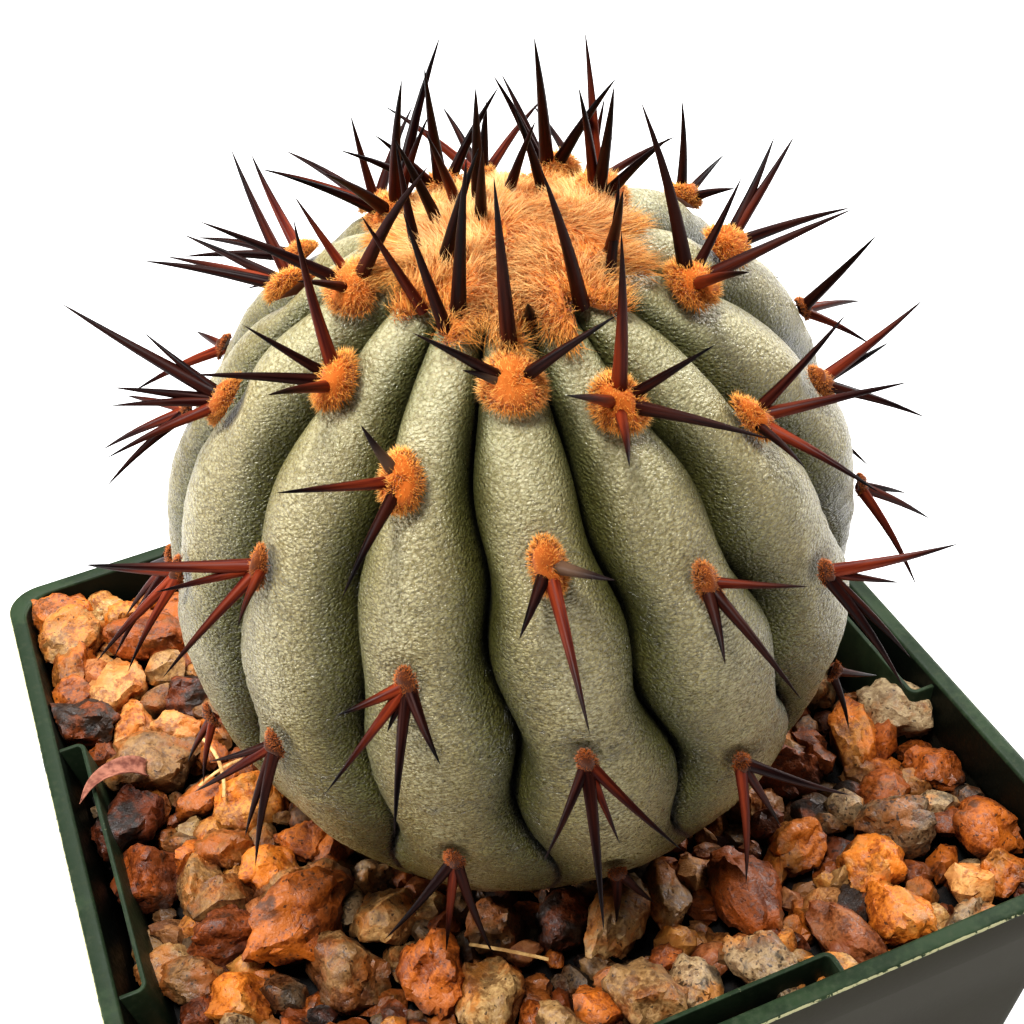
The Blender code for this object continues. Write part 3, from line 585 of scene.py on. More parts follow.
def skin_material():
    """Chalky wax over olive skin: pale at the crown and worn in specks further down, with painted shade dark
    in the furrows, on the flanks beside them, in the dips round old areoles and between the puckers, and
    ridges paled partly by wax and partly by a painted highlight.
    """
    material, tree, shader, place = new_material("waxy skin", 0.5, Specular_IOR_Level=0.65)
    across = stored(tree, "across")
    polar = stored(tree, "polar")
    worn = grain(tree, place, 5.0 * MM, 0.42 * MM)
    speck = noise(tree, place, 0.30 * MM, 2.0, 0.75)
    bloom = mix(tree, ramp(tree, polar, 18.0, 48.0), (176, 172, 136), (148, 137, 96))
    bloom = mix(tree, ramp(tree, polar, 60.0, 112.0), bloom, (130, 117, 66))
    under = mix(tree, ramp(tree, polar, 35.0, 95.0), (82, 74, 34), (76, 63, 20))
    bare = maths(tree, "MULTIPLY", ramp(tree, speck, 0.50, 0.66), ramp(tree, polar, 20.0, 85.0, 0.4, 0.8))
    colour = mix(tree, bare, bloom, under)
    colour = mix(tree, maths(tree, "MULTIPLY", worn["Patches"], 0.30), colour, (118, 110, 60))
    # Paler ridge tops: partly chalky wax, partly a painted highlight.
    ridge = maths(tree, "MULTIPLY", ramp(tree, across, 0.5, 0.0), ramp(tree, worn["Grain"], 0.35, 0.7))
    colour = mix(tree, maths(tree, "MULTIPLY", ridge, 0.48), colour, (212, 202, 164))
    # Flanks darker olive towards the furrows: partly greener skin, partly painted shade.
    side = ramp(tree, across, 0.34, 0.9)
    colour = mix(tree, maths(tree, "MULTIPLY", side, 0.80), colour, (70, 73, 24))
    lines = cracks(tree, place, 1.5 * MM, (0.5, 0.5, 2.0), 0.022)
    broken = maths(tree, "MULTIPLY", ramp(tree, noise(tree, place, 7.0 * MM, 2.0), 0.53, 0.62),
                   ramp(tree, polar, 42.0, 62.0))
    lines = maths(tree, "MULTIPLY", lines, broken)
    colour = mix(tree, maths(tree, "MULTIPLY", lines, 0.35), colour, (78, 74, 44))
    # Painted shade in the dips round the older areoles.
    pit_shade = ramp(tree, stored(tree, "pit"), 0.35, 0.95)
    colour = mix(tree, maths(tree, "MULTIPLY", pit_shade, 0.55), colour, (72, 66, 34))
    # Painted shade: near black at the bottom of each furrow.
    furrow = ramp(tree, across, 0.91, 0.98)
    colour = mix(tree, furrow, colour, (20, 21, 9))
    age = ramp(tree, polar, 25.0, 80.0, 0.55, 1.0)
    wrinkle = cells(tree, place, 0.40 * MM, (1.0, 1.0, 1.5))
    pucker = maths(tree, "MULTIPLY", wrinkle, age)
    # Painted shade in the sunken lines between the puckers.
    sunk_shade = maths(tree, "MULTIPLY", ramp(tree, wrinkle, 0.40, 0.62), ramp(tree, age, 0.5, 1.0, 0.6, 0.9))
    colour = mix(tree, sunk_shade, colour, mix(tree, 1.0, colour, (196, 188, 160), "MULTIPLY"))
    tree.links.new(colour, shader.inputs["Base Color"])
    tree.links.new(ramp(tree, worn["Grain"], 0.3, 0.7, 0.24, 0.42), shader.inputs["Roughness"])
    fine = maths(tree, "MULTIPLY", noise(tree, place, 0.26 * MM, 2.0, 0.6), 1.3)
    raised = maths(tree, "SUBTRACT", fine, pucker)
    height = maths(tree, "SUBTRACT", raised, maths(tree, "MULTIPLY", lines, 1.4))
    bump(tree, shader, height, 0.20 * MM, 1.0)
    return material


def felt_material():
    """Felt of fine fibres: pale silk in the crown, orange on young areoles and brown on old ones."""
    material, tree, shader, place = new_material("areole felt", 0.85, Specular_IOR_Level=0.25,
                                                 Sheen_Weight=0.12)
    along = stored(tree, "along")
    tone = stored(tree, "tone")
    youth = stored(tree, "youth")
    tip = ramp(tree, along, 0.35, 1.0)
    shade = mix(tree, ramp(tree, along, 0.0, 0.4), (196, 108, 34), (240, 160, 62))
    shade = mix(tree, maths(tree, "MULTIPLY", tip, 0.8), shade, (255, 212, 124))
    pale = mix(tree, ramp(tree, along, 0.0, 0.4), (252, 168, 84), (255, 192, 114))
    pale = mix(tree, tip, pale, (255, 218, 156))
    worn = mix(tree, ramp(tree, along, 0.0, 0.9), (78, 42, 18), (206, 120, 52))
    shade = mix(tree, ramp(tree, youth, 0.0, 1.0), shade, pale)
    shade = mix(tree, ramp(tree, youth, 0.0, -1.0), shade, worn)
    darker = mix(tree, 1.0, shade, (206, 176, 150), "MULTIPLY")
    shade = mix(tree, ramp(tree, tone, 0.0, 1.0, 0.8, 0.0), shade, darker)
    tree.links.new(shade, shader.inputs["Base Color"])
    return material


def spine_material():
    """Dark horn, redder towards the root on some spines, with faint lengthwise grain."""
    material, tree, shader, place = new_material("spine horn", 0.42, Specular_IOR_Level=0.09)
    along = stored(tree, "along")
    red = stored(tree, "tone")
    strand = add_node(tree, "ShaderNodeAttribute", attribute_name="strand").outputs["Vector"]
    made = add_node(tree, "ShaderNodeTexNoise", {"Vector": strand, "Scale": 1.6, "Detail": 3.0})
    streak = made.outputs["Fac"]
    body = mix(tree, ramp(tree, streak, 0.38, 0.66), (8, 5, 6), (34, 14, 10))
    base = mix(tree, ramp(tree, streak, 0.3, 0.7), (74, 22, 16), (134, 56, 28))
    reach = maths(tree, "MULTIPLY", ramp(tree, along, 0.9, 0.05), ramp(tree, red, 0.4, 1.0, 0.10, 1.0))
    colour = mix(tree, reach, body, base)
    horn = mix(tree, ramp(tree, along, 0.2, 0.75), (86, 66, 52), (28, 18, 18))
    colour = mix(tree, ramp(tree, red, 1.3, 1.8), colour, horn)
    tree.links.new(colour, shader.inputs["Base Color"])
    tree.links.new(ramp(tree, streak, 0.3, 0.7, 0.34, 0.52), shader.inputs["Roughness"])
    bump(tree, shader, streak, 0.06 * MM, 0.6)
    return material


def stone_material(kind):
    """Granite chip: body and second minerals, iron stain in patches, a browner tone in its hollows and dark
    specks, with painted shade darker towards the bed.
    """
    body, second, stain, stained, specks = STONE_COLOURS[kind]
    material, tree, shader, place = new_material("granite " + kind, 0.6, Specular_IOR_Level=0.5)
    tone = stored(tree, "tone")
    mineral = grain(tree, place, 3.2 * MM, 0.5 * MM, 0.55)
    colour = mix(tree, mineral["Patches"], body, second)
    rusty = grain(tree, place, 5.5 * MM, 0.9 * MM, 0.60 - 0.25 * stained)
    colour = mix(tree, maths(tree, "MULTIPLY", rusty["Patches"], 0.85), colour, stain)
    dots = noise(tree, place, 0.55 * MM, 1.0, 0.5)
    dots = ramp(tree, dots, 0.74 - 0.16 * specks, 0.80 - 0.16 * specks)
    colour = mix(tree, maths(tree, "MULTIPLY", dots, 0.8), colour, (44, 32, 26))
    low = maths(tree, "MULTIPLY", ramp(tree, mineral["Height"], 0.56, 0.40), 0.8)
    colour = mix(tree, low, colour, mix(tree, 1.0, colour, (128, 108, 94), "MULTIPLY"))
    lighter = mix(tree, 1.0, colour, (255, 240, 225), "SOFT_LIGHT")
    darker = mix(tree, 1.0, colour, (176, 160, 150), "MULTIPLY")
    colour = mix(tree, tone, darker, mix(tree, 0.35, colour, lighter))
    colour = mix(tree, 1.0, colour, (240, 230, 206), "MULTIPLY")
    # Painted shade: each stone darkens towards the bed, as the gaps between the stones fall into shadow.
    height = add_node(tree, "ShaderNodeSeparateXYZ", {"Vector": place}).outputs["Z"]
    foot_shade = ramp(tree, height, BED_TOP + 3.4 * MM, BED_TOP + 0.4 * MM, 0.0, 0.6)
    colour = mix(tree, foot_shade, colour, mix(tree, 1.0, colour, (104, 90, 72), "MULTIPLY"))
    tree.links.new(colour, shader.inputs["Base Color"])
    tree.links.new(ramp(tree, mineral["Grain"], 0.3, 0.7, 0.36, 0.72), shader.inputs["Roughness"])
    bump(tree, shader, mineral["Height"], 0.45 * MM, 0.9)
    return material


def bed_material():
    """Near-black grit under the stones, its colour painted shade in the gaps between them."""
    material, tree, shader, place = new_material("gravel bed grit in painted shade", 0.95)
    grit = grain(tree, place, 2.5 * MM, 0.8 * MM, 0.55)
    # Near-black grit colours: painted shade.
    colour = mix(tree, grit["Patches"], (10, 7, 5), (26, 16, 9))
    colour = mix(tree, ramp(tree, grit["Grain"], 0.5, 0.7), colour, (6, 4, 3))
    tree.links.new(colour, shader.inputs["Base Color"])
    bump(tree, shader, grit["Height"], 0.8 * MM)
    return material


def soil_material():
    """Crumbly dark potting mix."""
    material, tree, shader, place = new_material("potting soil", 0.95)
    crumb = grain(tree, place, 4.0 * MM, 1.2 * MM, 0.55)
    colour = mix(tree, crumb["Patches"], (44, 32, 24), (78, 58, 42))
    tree.links.new(colour, shader.inputs["Base Color"])
    bump(tree, shader, crumb["Height"], 1.2 * MM)
    return material


def pot_material():
    """Dark green moulded plastic, dusty and worn pale along its upper edges; its outer wall is browner,
    partly as painted shade, and painted shade turns its inside near black.
    """
    material, tree, shader, place = new_material("pot plastic", 0.42, Specular_IOR_Level=0.14)
    wear = stored(tree, "wear")
    marks = grain(tree, place, 9.0 * MM, 0.7 * MM, 0.55)
    colour = mix(tree, marks["Patches"], (36, 48, 33), (45, 59, 40))
    dust = maths(tree, "MULTIPLY", ramp(tree, marks["Grain"], 0.45, 0.75), 0.25)
    colour = mix(tree, dust, colour, (70, 72, 56))
    # The outer wall browner: partly the plastic's own colour, partly painted shade.
    outer = stored(tree, "outer")
    colour = mix(tree, maths(tree, "MULTIPLY", outer, 0.9), colour, (54, 49, 39))
    # Painted shade: where the stored wear runs below zero, inside the pot and low in the label slots, the
    # plastic goes near black.
    colour = mix(tree, ramp(tree, wear, 0.0, -0.8), colour, (18, 23, 16))
    ragged = maths(tree, "SUBTRACT", noise(tree, place, 0.8 * MM, 3.0, 0.7), 0.5)
    spread = maths(tree, "SUBTRACT", noise(tree, place, 12.0 * MM, 2.0, 0.5), 0.5)
    spread = maths(tree, "ADD", maths(tree, "MULTIPLY", ragged, 1.7), maths(tree, "MULTIPLY", spread, 1.1))
    rubbed = ramp(tree, maths(tree, "ADD", wear, spread), 0.54, 0.70)
    rubbed = maths(tree, "MULTIPLY", rubbed, ramp(tree, wear, 0.05, 0.3))
    colour = mix(tree, rubbed, colour, (164, 160, 124))
    tree.links.new(colour, shader.inputs["Base Color"])
    rough = maths(tree, "MAXIMUM", ramp(tree, marks["Grain"], 0.3, 0.7, 0.36, 0.55),
                  maths(tree, "MULTIPLY", outer, 0.8))
    tree.links.new(rough, shader.inputs["Roughness"])
    bump(tree, shader, marks["Height"], 0.08 * MM, 0.6)
    return material


# Stem


def stem_axes():
    """Return the leaning frame: sideways, back and up along the stem."""
    up = Vector((math.tan(LEAN_SIDE), math.tan(LEAN_FRONT), 1.0)).normalized()
    side = (Vector((1.0, 0.0, 0.0)) - up * up.x).normalized()
    return np.array(side), np.array(up.cross(side)), np.array(up)


SIDE, BACK, UP = stem_axes()


def swell(rib, polar):
    """How much each rib swells at a polar angle: most midway below each areole."""
    total = np.zeros(len(polar))
    for number, levels in AREOLES.items():
        here = rib % RIBS == number
        for level in levels:
            offset = (polar[here] - level[0] - SWELL_BELOW_AREOLE) / SWELL_LENGTH
            total[here] += np.exp(-offset * offset)
    return total


def furrow_share(polar):
    """Depth of the furrows along the stem, as a share of the deepest."""
    return smooth_ramp(7.0, 36.0, polar) * (1.0 - smooth_ramp(74.0, 120.0, polar))


def skin(polar, place, lift=0.0, crease=0.0):
    """Return points of the skin at polar angles and rib places, and the directions out of it.

    A whole rib place is a rib's ridge, and the furrows lie halfway between. A crease deepens the
    furrow's very bottom.
    """
    polar, place = np.broadcast_arrays(np.atleast_1d(np.asarray(polar, dtype=float)),
                                       np.asarray(place, dtype=float))
    rib = np.floor(place + 0.5).astype(int)
    across = 2.0 * (place - rib)
    beside = rib + np.where(across > 0.0, 1, -1)
    lower, upper = np.minimum(rib, beside), np.maximum(rib, beside)
    wander = FURROW_WANDER * (swell(lower, polar) - swell(upper, polar)) * np.abs(across) ** 1.5
    azimuth = np.radians(FIRST_RIB + RIB_TWIST * (polar - TWIST_CENTRE) + RIB_STEP * place + wander)
    theta = np.radians(polar)
    around = SIDE * np.cos(azimuth)[:, None] + BACK * np.sin(azimuth)[:, None]
    point = STEM_CENTRE + around * (STEM_RADIUS * np.sin(theta))[:, None]
    point = point + UP * (STEM_HALF_HEIGHT * np.cos(theta))[:, None]
    out = around * (np.sin(theta) / STEM_RADIUS)[:, None] + UP * (np.cos(theta) / STEM_HALF_HEIGHT)[:, None]
    out = unit(out)
    hollow = FLANK * across ** 2 + (1.0 - FLANK) * np.abs(across) ** 7
    bulge = SWELL_HEIGHT * (swell(rib, polar) - 0.5) * (1.0 - across ** 2)
    behind = np.sum(around * BACK, axis=1) * np.sin(theta)
    drop = BACK_DROP * smooth_ramp(0.12, 0.50, behind) * smooth_ramp(90.0, 30.0, polar)
    height = -drop + furrow_share(polar) * (bulge - FURROW_DEPTH * hollow - crease * np.abs(across) ** 26)
    return point + out * (height + lift)[:, None], out


def pit_depth(polar, place):
    """How far the skin dips round each older areole, from 0 to 1."""
    dip = np.zeros(len(polar))
    for rib, levels in AREOLES.items():
        for middle, aside, listed in levels:
            if middle > CROWN_EDGE:
                half = pad_size(middle)[0]
                away = (place - rib - aside + RIBS / 2.0) % RIBS - RIBS / 2.0
                down = (polar - middle) / np.degrees((half + 0.9 * MM) / STEM_HALF_HEIGHT)
                ring = STEM_RADIUS * np.sin(np.radians(middle)) * math.tau / RIBS
                sideways = away * ring / (half + 0.5 * MM)
                dip = np.maximum(dip, np.exp(-(down ** 2 + sideways ** 2) ** 1.5))
    return dip


def make_stem(material):
    """Roll a sheet into the ribbed globe: its columns gather in the furrows, and its ends close up."""
    total = RIBS * STEM_COLUMNS
    bpy.ops.mesh.primitive_grid_add(x_subdivisions=total, y_subdivisions=STEM_RINGS, size=2.0)
    stem = bpy.context.object
    sheet = points_of(stem)
    polar = 90.0 - 90.0 * sheet[:, 1]
    column = np.round((sheet[:, 0] + 1.0) / 2.0 * total).astype(int) % total
    share = 2.0 * (column % STEM_COLUMNS) / STEM_COLUMNS - 1.0
    across = np.sin(share * math.pi / 2.0)
    place = column // STEM_COLUMNS + 0.5 * across
    points, out = skin(polar, place, 0.0, CREASE_DEPTH)
    pits = pit_depth(polar, place)
    age = smooth_ramp(25.0, 80.0, polar)
    lumps = 0.14 * MM * ripple(points, 9.0 * MM, 3) + 0.05 * MM * age * ripple(points, 2.6 * MM, 4)
    folds = 0.05 * MM * age * ripple(points * (0.35, 0.35, 1.0), 1.9 * MM, 6, 14)
    points += out * (lumps + folds - PIT_DEPTH * pits)[:, None]
    set_points(stem, points)
    set_values(stem, "across", np.abs(across))
    set_values(stem, "polar", polar)
    set_values(stem, "pit", pits)
    edit(stem)
    bpy.ops.mesh.remove_doubles(threshold=0.001 * MM)
    bpy.ops.mesh.normals_make_consistent(inside=False)
    done()
    smooth(stem)
    return finish_piece(stem, "ribbed_stem", material, "waxy_skin", "stem")


# Felt and spines


def pad_size(polar):
    """Half length and height of an areole's wool: it wears away as the areole ages down the rib."""
    age = smooth_ramp(22.0, 68.0, polar)
    return (2.8 - 1.5 * age) * MM, (2.2 - 1.3 * age) * MM


def pad_place(polar, place, turn, reach):
    """Return polar angles and rib places within an areole's pad."""
    half = pad_size(polar)[0]
    ring_radius = STEM_RADIUS * math.sin(math.radians(polar))
    long = 1.0 + 0.35 * smooth_ramp(30.0, 50.0, polar)
    along = half * long * reach * np.cos(turn)
    across = half * (0.88 - 0.26 * smooth_ramp(30.0, 50.0, polar)) * reach * np.sin(turn)
    return polar - np.degrees(along / STEM_HALF_HEIGHT), place + across * RIBS / (math.tau * ring_radius)


def cap_place(turn, reach):
    """Return polar angles and rib places within the crown's cap, which has a lobe out along each rib."""
    place = turn / math.tau * RIBS
    return reach * (CAP_REACH + CAP_LOBE * np.cos(math.tau * place)), place


def cap_height(turn, reach):
    """Return the height of the crown's wool, which is uneven and thin towards the back."""
    behind = reach * np.sin(np.radians(FIRST_RIB) + turn)
    uneven = 1.0 + 0.18 * np.sin(5.0 * turn + 9.0 * reach)
    return CAP_HEIGHT * uneven * (1.0 - 0.72 * smooth_ramp(-0.1, 0.7, behind))


def wool_body(name, segments, rings, place_at, height_at):
    """Shape a felt body from a sphere: its lower half hugs the skin and its upper half stands off it."""
    bpy.ops.mesh.primitive_uv_sphere_add(segments=segments, ring_count=rings, radius=1.0)
    body = bpy.context.object
    ball = points_of(body)
    turn = np.arctan2(ball[:, 1], ball[:, 0])
    reach = np.hypot(ball[:, 0], ball[:, 1]) * 0.94
    polar, place = place_at(turn, reach)
    upper = np.clip(ball[:, 2], 0.0, 1.0) ** 0.8
    lift = WOOL_LIFT + np.where(ball[:, 2] > -0.01, height_at(turn, reach) * (0.22 + 0.78 * upper), 0.0)
    points, out = skin(polar, place, lift)
    points += out * (0.22 * MM * ripple(points, 1.5 * MM, 8) * (ball[:, 2] > 0.1))[:, None]
    set_points(body, points)
    body.name = name
    return body


def hair_roots(draw, count, place_at, height_at, steep):
    """Draw hair roots all over a felt body: roots, the skin's directions there, ways and reaches."""
    turn = draw.uniform(0.0, math.tau, count)
    dome = draw.uniform(0.0, 1.0, count) ** steep
    reach = np.sqrt(1.0 - dome ** 2) * 0.99
    polar, place = place_at(turn, reach)
    lift = WOOL_LIFT + height_at(turn, reach) * (0.22 + 0.78 * dome ** 0.8) - 0.25 * MM
    roots, out = skin(polar, place, lift)
    middle = skin(*place_at(np.zeros(1), np.zeros(1)))[0][0]
    aside = roots - middle
    aside -= out * np.sum(aside * out, axis=1, keepdims=True)
    return roots, out, unit(aside), reach, turn


def join_parts(first, *others):
    """Join objects into the first one."""
    select_only(*others, first)
    bpy.ops.object.join()
    return first


def make_felt(name, material, draw, size, place_at, height_at, hairs, length, youth_at, nodes, silky=False):
    """Make one tuft: its felt body with its fibres, joined as one piece."""
    body = wool_body(name, size[0], size[1], place_at, height_at)
    count = len(body.data.vertices)
    set_values(body, "along", np.full(count, 0.1))
    set_values(body, "tone", np.full(count, 0.2))
    set_values(body, "youth", np.full(count, youth_at(np.array((0.3,)))[0]))
    roots, out, aside, reach, turn = hair_roots(draw, hairs, place_at, height_at, 0.5 if silky else 1.0)
    flow = unit(np.stack([ripple(roots, 9.0 * MM, seed, 4) for seed in (31, 32, 33)], axis=1))
    flow = unit(flow - out * np.sum(flow * out, axis=1, keepdims=True))
    if silky:
        thorn = LONG_HAIR
        ways = unit(out * 0.80 + aside * (0.9 * reach ** 4)[:, None] + flow * 0.70
                    + draw.normal(0.0, 0.40, (hairs, 3)))
        radii = draw.uniform(0.026, 0.050, hairs) * MM
    else:
        thorn = HAIR
        ways = unit(out * (1.05 - reach)[:, None] + aside * reach[:, None] + out * 0.12 + flow * 0.12
                    + draw.normal(0.0, 0.40, (hairs, 3)))
        radii = draw.uniform(0.030, 0.050, hairs) * MM
    lengths = draw.uniform(*length, hairs)
    if silky:
        lengths *= 0.35 + 0.65 * height_at(turn, reach) / CAP_HEIGHT
    curl = np.cross(ways, draw.normal(0.0, 1.0, (hairs, 3))) * (lengths * 0.16)[:, None]
    curl += flow * (lengths * 0.3 * silky)[:, None]
    copies = grow(thorn, roots, ways, radii, lengths, 0.8, curl, lambda share: share ** 2)
    fibres = join_copies(name + "_fibres", thorn, copies)
    per_hair = len(thorn[0])
    set_values(fibres, "along", np.tile(thorn[0][:, 2], hairs))
    set_values(fibres, "tone", np.repeat(draw.uniform(0.0, 1.0, hairs), per_hair))
    set_values(fibres, "youth", np.repeat(youth_at(reach), per_hair))
    join_parts(body, fibres)
    smooth(body)
    return finish_piece(body, name, material, "areole_wool", *nodes)


def spines_by_age(polar, draw):
    """Spines of an areole: young ones stand up, old ones hang down."""
    if polar < 33.0:
        plan = ((0, 54, 14), (-72, 46, 11), (72, 46, 11))
    elif polar < 58.0:
        plan = ((178, 42, 13), (-108, 42, 11), (108, 42, 11), (5, 50, 9))
    else:
        plan = ((180, 33, 12), (-140, 33, 11), (140, 33, 11))
    return [(turn + draw.uniform(-9.0, 9.0), lift + draw.uniform(-3.0, 4.0),
             length * draw.uniform(0.85, 1.12)) for turn, lift, length in plan]


def make_spines(name, material, plans, nodes, draw, root_lift):
    """Make one areole's spines. Plans hold polar, place, turn, lift, length and the root's spread."""
    plans = np.array(plans, dtype=float)
    polar, place, turn, lift, length, spread = plans.T
    turn, lift, length = np.radians(turn), np.radians(lift), length * MM
    point, out = skin(polar, place)
    to_crown = skin(polar - 1.0, place)[0] - point
    to_crown = unit(to_crown - out * np.sum(to_crown * out, axis=1, keepdims=True))
    right = np.cross(to_crown, out)
    along = to_crown * np.cos(turn)[:, None] + right * np.sin(turn)[:, None]
    ways = along * np.cos(lift)[:, None] + out * np.sin(lift)[:, None]
    roots = point + out * root_lift + along * spread[:, None]
    radii = (SPINE_RADIUS + SPINE_STOUTNESS * length) * np.where(length < SHORT_SPINE, 1.35, 1.0)
    copies = grow(SPINE, roots, ways, radii, length, SPINE_TAPER, out * (SPINE_BEND * length)[:, None],
                  lambda share: np.sin(math.pi * share))
    piece = join_copies(name, SPINE, copies)
    set_values(piece, "along", np.tile(SPINE[0][:, 2], len(plans)))
    tones = draw.uniform(0.0, 1.0, len(plans))
    known = SPINE_TONES.get(name[-4:], ())
    tones[:len(known)] = known
    set_values(piece, "tone", np.repeat(tones, len(SPINE[0])))
    strand = np.tile(SPINE[0], (len(plans), 1))
    strand[:, 2] = strand[:, 2] * 0.4 + np.repeat(draw.uniform(0.0, 90.0, len(plans)), len(SPINE[0]))
    layer = piece.data.attributes.new("strand", "FLOAT_VECTOR", "POINT")
    layer.data.foreach_set("vector", strand.astype(np.float32).ravel())
    smooth(piece, 60)
    return finish_piece(piece, name, material, "spine_horn", *nodes)


def make_areoles(felt, horn):
    """Seat the tufts and their spines on the ribs, as the CAD has them."""
    order = random.Random(SPINE_SEED)
    draw = np.random.default_rng(HAIR_SEED)
    for rib, levels in AREOLES.items():
        for number, (polar, aside, listed) in enumerate(levels):
            place = rib + aside
            spines = listed or spines_by_age(polar, order)
            mark = "%02d_%s" % (rib, "abcd"[number])
            node = "crown_wool" if polar < CROWN_EDGE else "areole_" + mark
            half, height = pad_size(polar)
            scale = half / (2.8 * MM)
            youth = 0.4 * smooth_ramp(30.0, 18.0, polar) - smooth_ramp(28.0, 70.0, polar)
            make_felt("felt_" + mark, felt, draw, (20, 12),
                      lambda turn, reach: pad_place(polar, place, turn, reach),
                      lambda turn, reach: np.full(len(turn), height),
                      int(PAD_HAIRS * (0.15 + 0.85 * scale)), (0.45 * MM * scale, 1.05 * MM * scale),
                      lambda reach: np.full(len(reach), youth), (node,))
            spread = SPINE_ROOT_SPREAD * scale
            plans = [(polar, place, turn, lift, length, spread) for turn, lift, length in spines]
            make_spines("spines_" + mark, horn, plans, (node,), draw, min(SPINE_ROOT_LIFT, 0.62 * height))
    make_felt("crown_felt", felt, draw, (84, 24), cap_place, cap_height, CROWN_HAIRS, (1.3 * MM, 2.7 * MM),
              lambda reach: smooth_ramp(1.05, 0.55, reach), ("crown_wool",), True)
    plans = [(polar, place, turn, lift, length, 0.0) for place, polar, turn, lift, length in CROWN_SPINES]
    make_spines("crown_spines", horn, plans, ("crown_wool",), draw, 0.9 * MM)


# Gravel


def inner_half(z):
    """Half the clear width between the pot's walls at a height."""
    share = (z - WALL) / (POT_HEIGHT - WALL)
    return INNER_HALF_FLOOR + (INNER_HALF_TOP - INNER_HALF_FLOOR) * share


def wall_slope():
    """How far the wall moves out for each metre up."""
    return (INNER_HALF_TOP - INNER_HALF_FLOOR) / (POT_HEIGHT - WALL)


def chip_shape(seed, faces):
    """Break one chip from a ball: flat cuts, worn edges and a rough surface, within unit radius."""
    draw = random.Random(seed)
    bpy.ops.mesh.primitive_ico_sphere_add(subdivisions=3, radius=1.0)
    chip = bpy.context.object
    edit(chip)
    for cut in range(CHIP_CUTS):
        normal = Vector((draw.gauss(0, 1), draw.gauss(0, 1), draw.gauss(0, 1))).normalized()
        bpy.ops.mesh.select_all(action="SELECT")
        bpy.ops.mesh.bisect(plane_co=normal * draw.uniform(0.62, 0.90), plane_no=normal, clear_outer=True,
                            use_fill=True)
    done()
    remesh = chip.modifiers.new("even faces", "REMESH")
    remesh.mode = "VOXEL"
    remesh.voxel_size = CHIP_VOXEL
    wear = chip.modifiers.new("worn edges", "SMOOTH")
    wear.factor = 0.5
    wear.iterations = 2
    for number, (size, strength) in enumerate(((0.8, 0.20), (0.28, 0.10), (0.11, 0.035))):
        pattern = bpy.data.textures.new("chip %d %d" % (seed, number), "CLOUDS")
        pattern.noise_scale = size
        rough = chip.modifiers.new("rough %d" % number, "DISPLACE")
        rough.texture = pattern
        rough.texture_coords = "LOCAL"
        rough.strength = strength * 2.0
        rough.mid_level = 0.5
    apply_all(chip)
    thin = chip.modifiers.new("fewer faces", "DECIMATE")
    thin.ratio = min(1.0, faces / (2.0 * len(chip.data.polygons)))
    apply_all(chip)
    return read_shape(chip)


def near_slot(x, y, margin):
    """Tell whether a point lies nearer than a margin to one of the label slots."""
    limit = INNER_HALF_TOP - RIM_INSET - SLOT_GAP - SLOT_WALL + (BED_TOP - POT_HEIGHT) * wall_slope()
    for along, out in ((x, y), (y, x)):
        if abs(along) < SLOT_HALF_LENGTH + margin and abs(out) > limit - margin:
            return True
    return False


def free_spot(x, y, half):
    """Tell whether a stone there keeps clear of the label slots and the taproot."""
    clear_of_root = math.hypot(x - ROOT_PLACE[0], y - ROOT_PLACE[1]) > STONE_ROOT_CLEAR + half
    return clear_of_root and not near_slot(x, y, STONE_EDGE_SHARE * half)


def shown(group, growth):
    """Turn a table of stones into kind, x, y, half length, half width and turn of each."""
    return [(kind, x * MM, y * MM, length * MM / 2.0 * growth, width * MM / 2.0 * growth, math.radians(turn))
            for kind, rows in group.items() for x, y, length, width, turn in rows]


def place_stones():
    """Set the shown stones, then fill the gaps as the CAD does."""
    draw = random.Random(STONE_SEED)
    edge = inner_half(BED_TOP - 2.0 * MM) - 2.0 * GAP
    stones = shown(SHOWN_STONES, STONE_GROWTH)
    while len(stones) < STONE_COUNT:
        half = draw.uniform(*STONE_HALF)
        reach = edge - STONE_EDGE_SHARE * half
        best = None
        for attempt in range(STONE_TRIES):
            x, y = draw.uniform(-reach, reach), draw.uniform(-reach, reach)
            if free_spot(x, y, half):
                room = min(math.hypot(x - stone[1], y - stone[2]) - stone[3] for stone in stones)
                best = max(best or (room, x, y), (room, x, y))
        if best:
            kind = COMMON_KINDS[len(stones) % len(COMMON_KINDS)]
            stones.append((kind, best[1], best[2], half, half * 0.82, draw.uniform(0.0, math.tau)))
    return stones


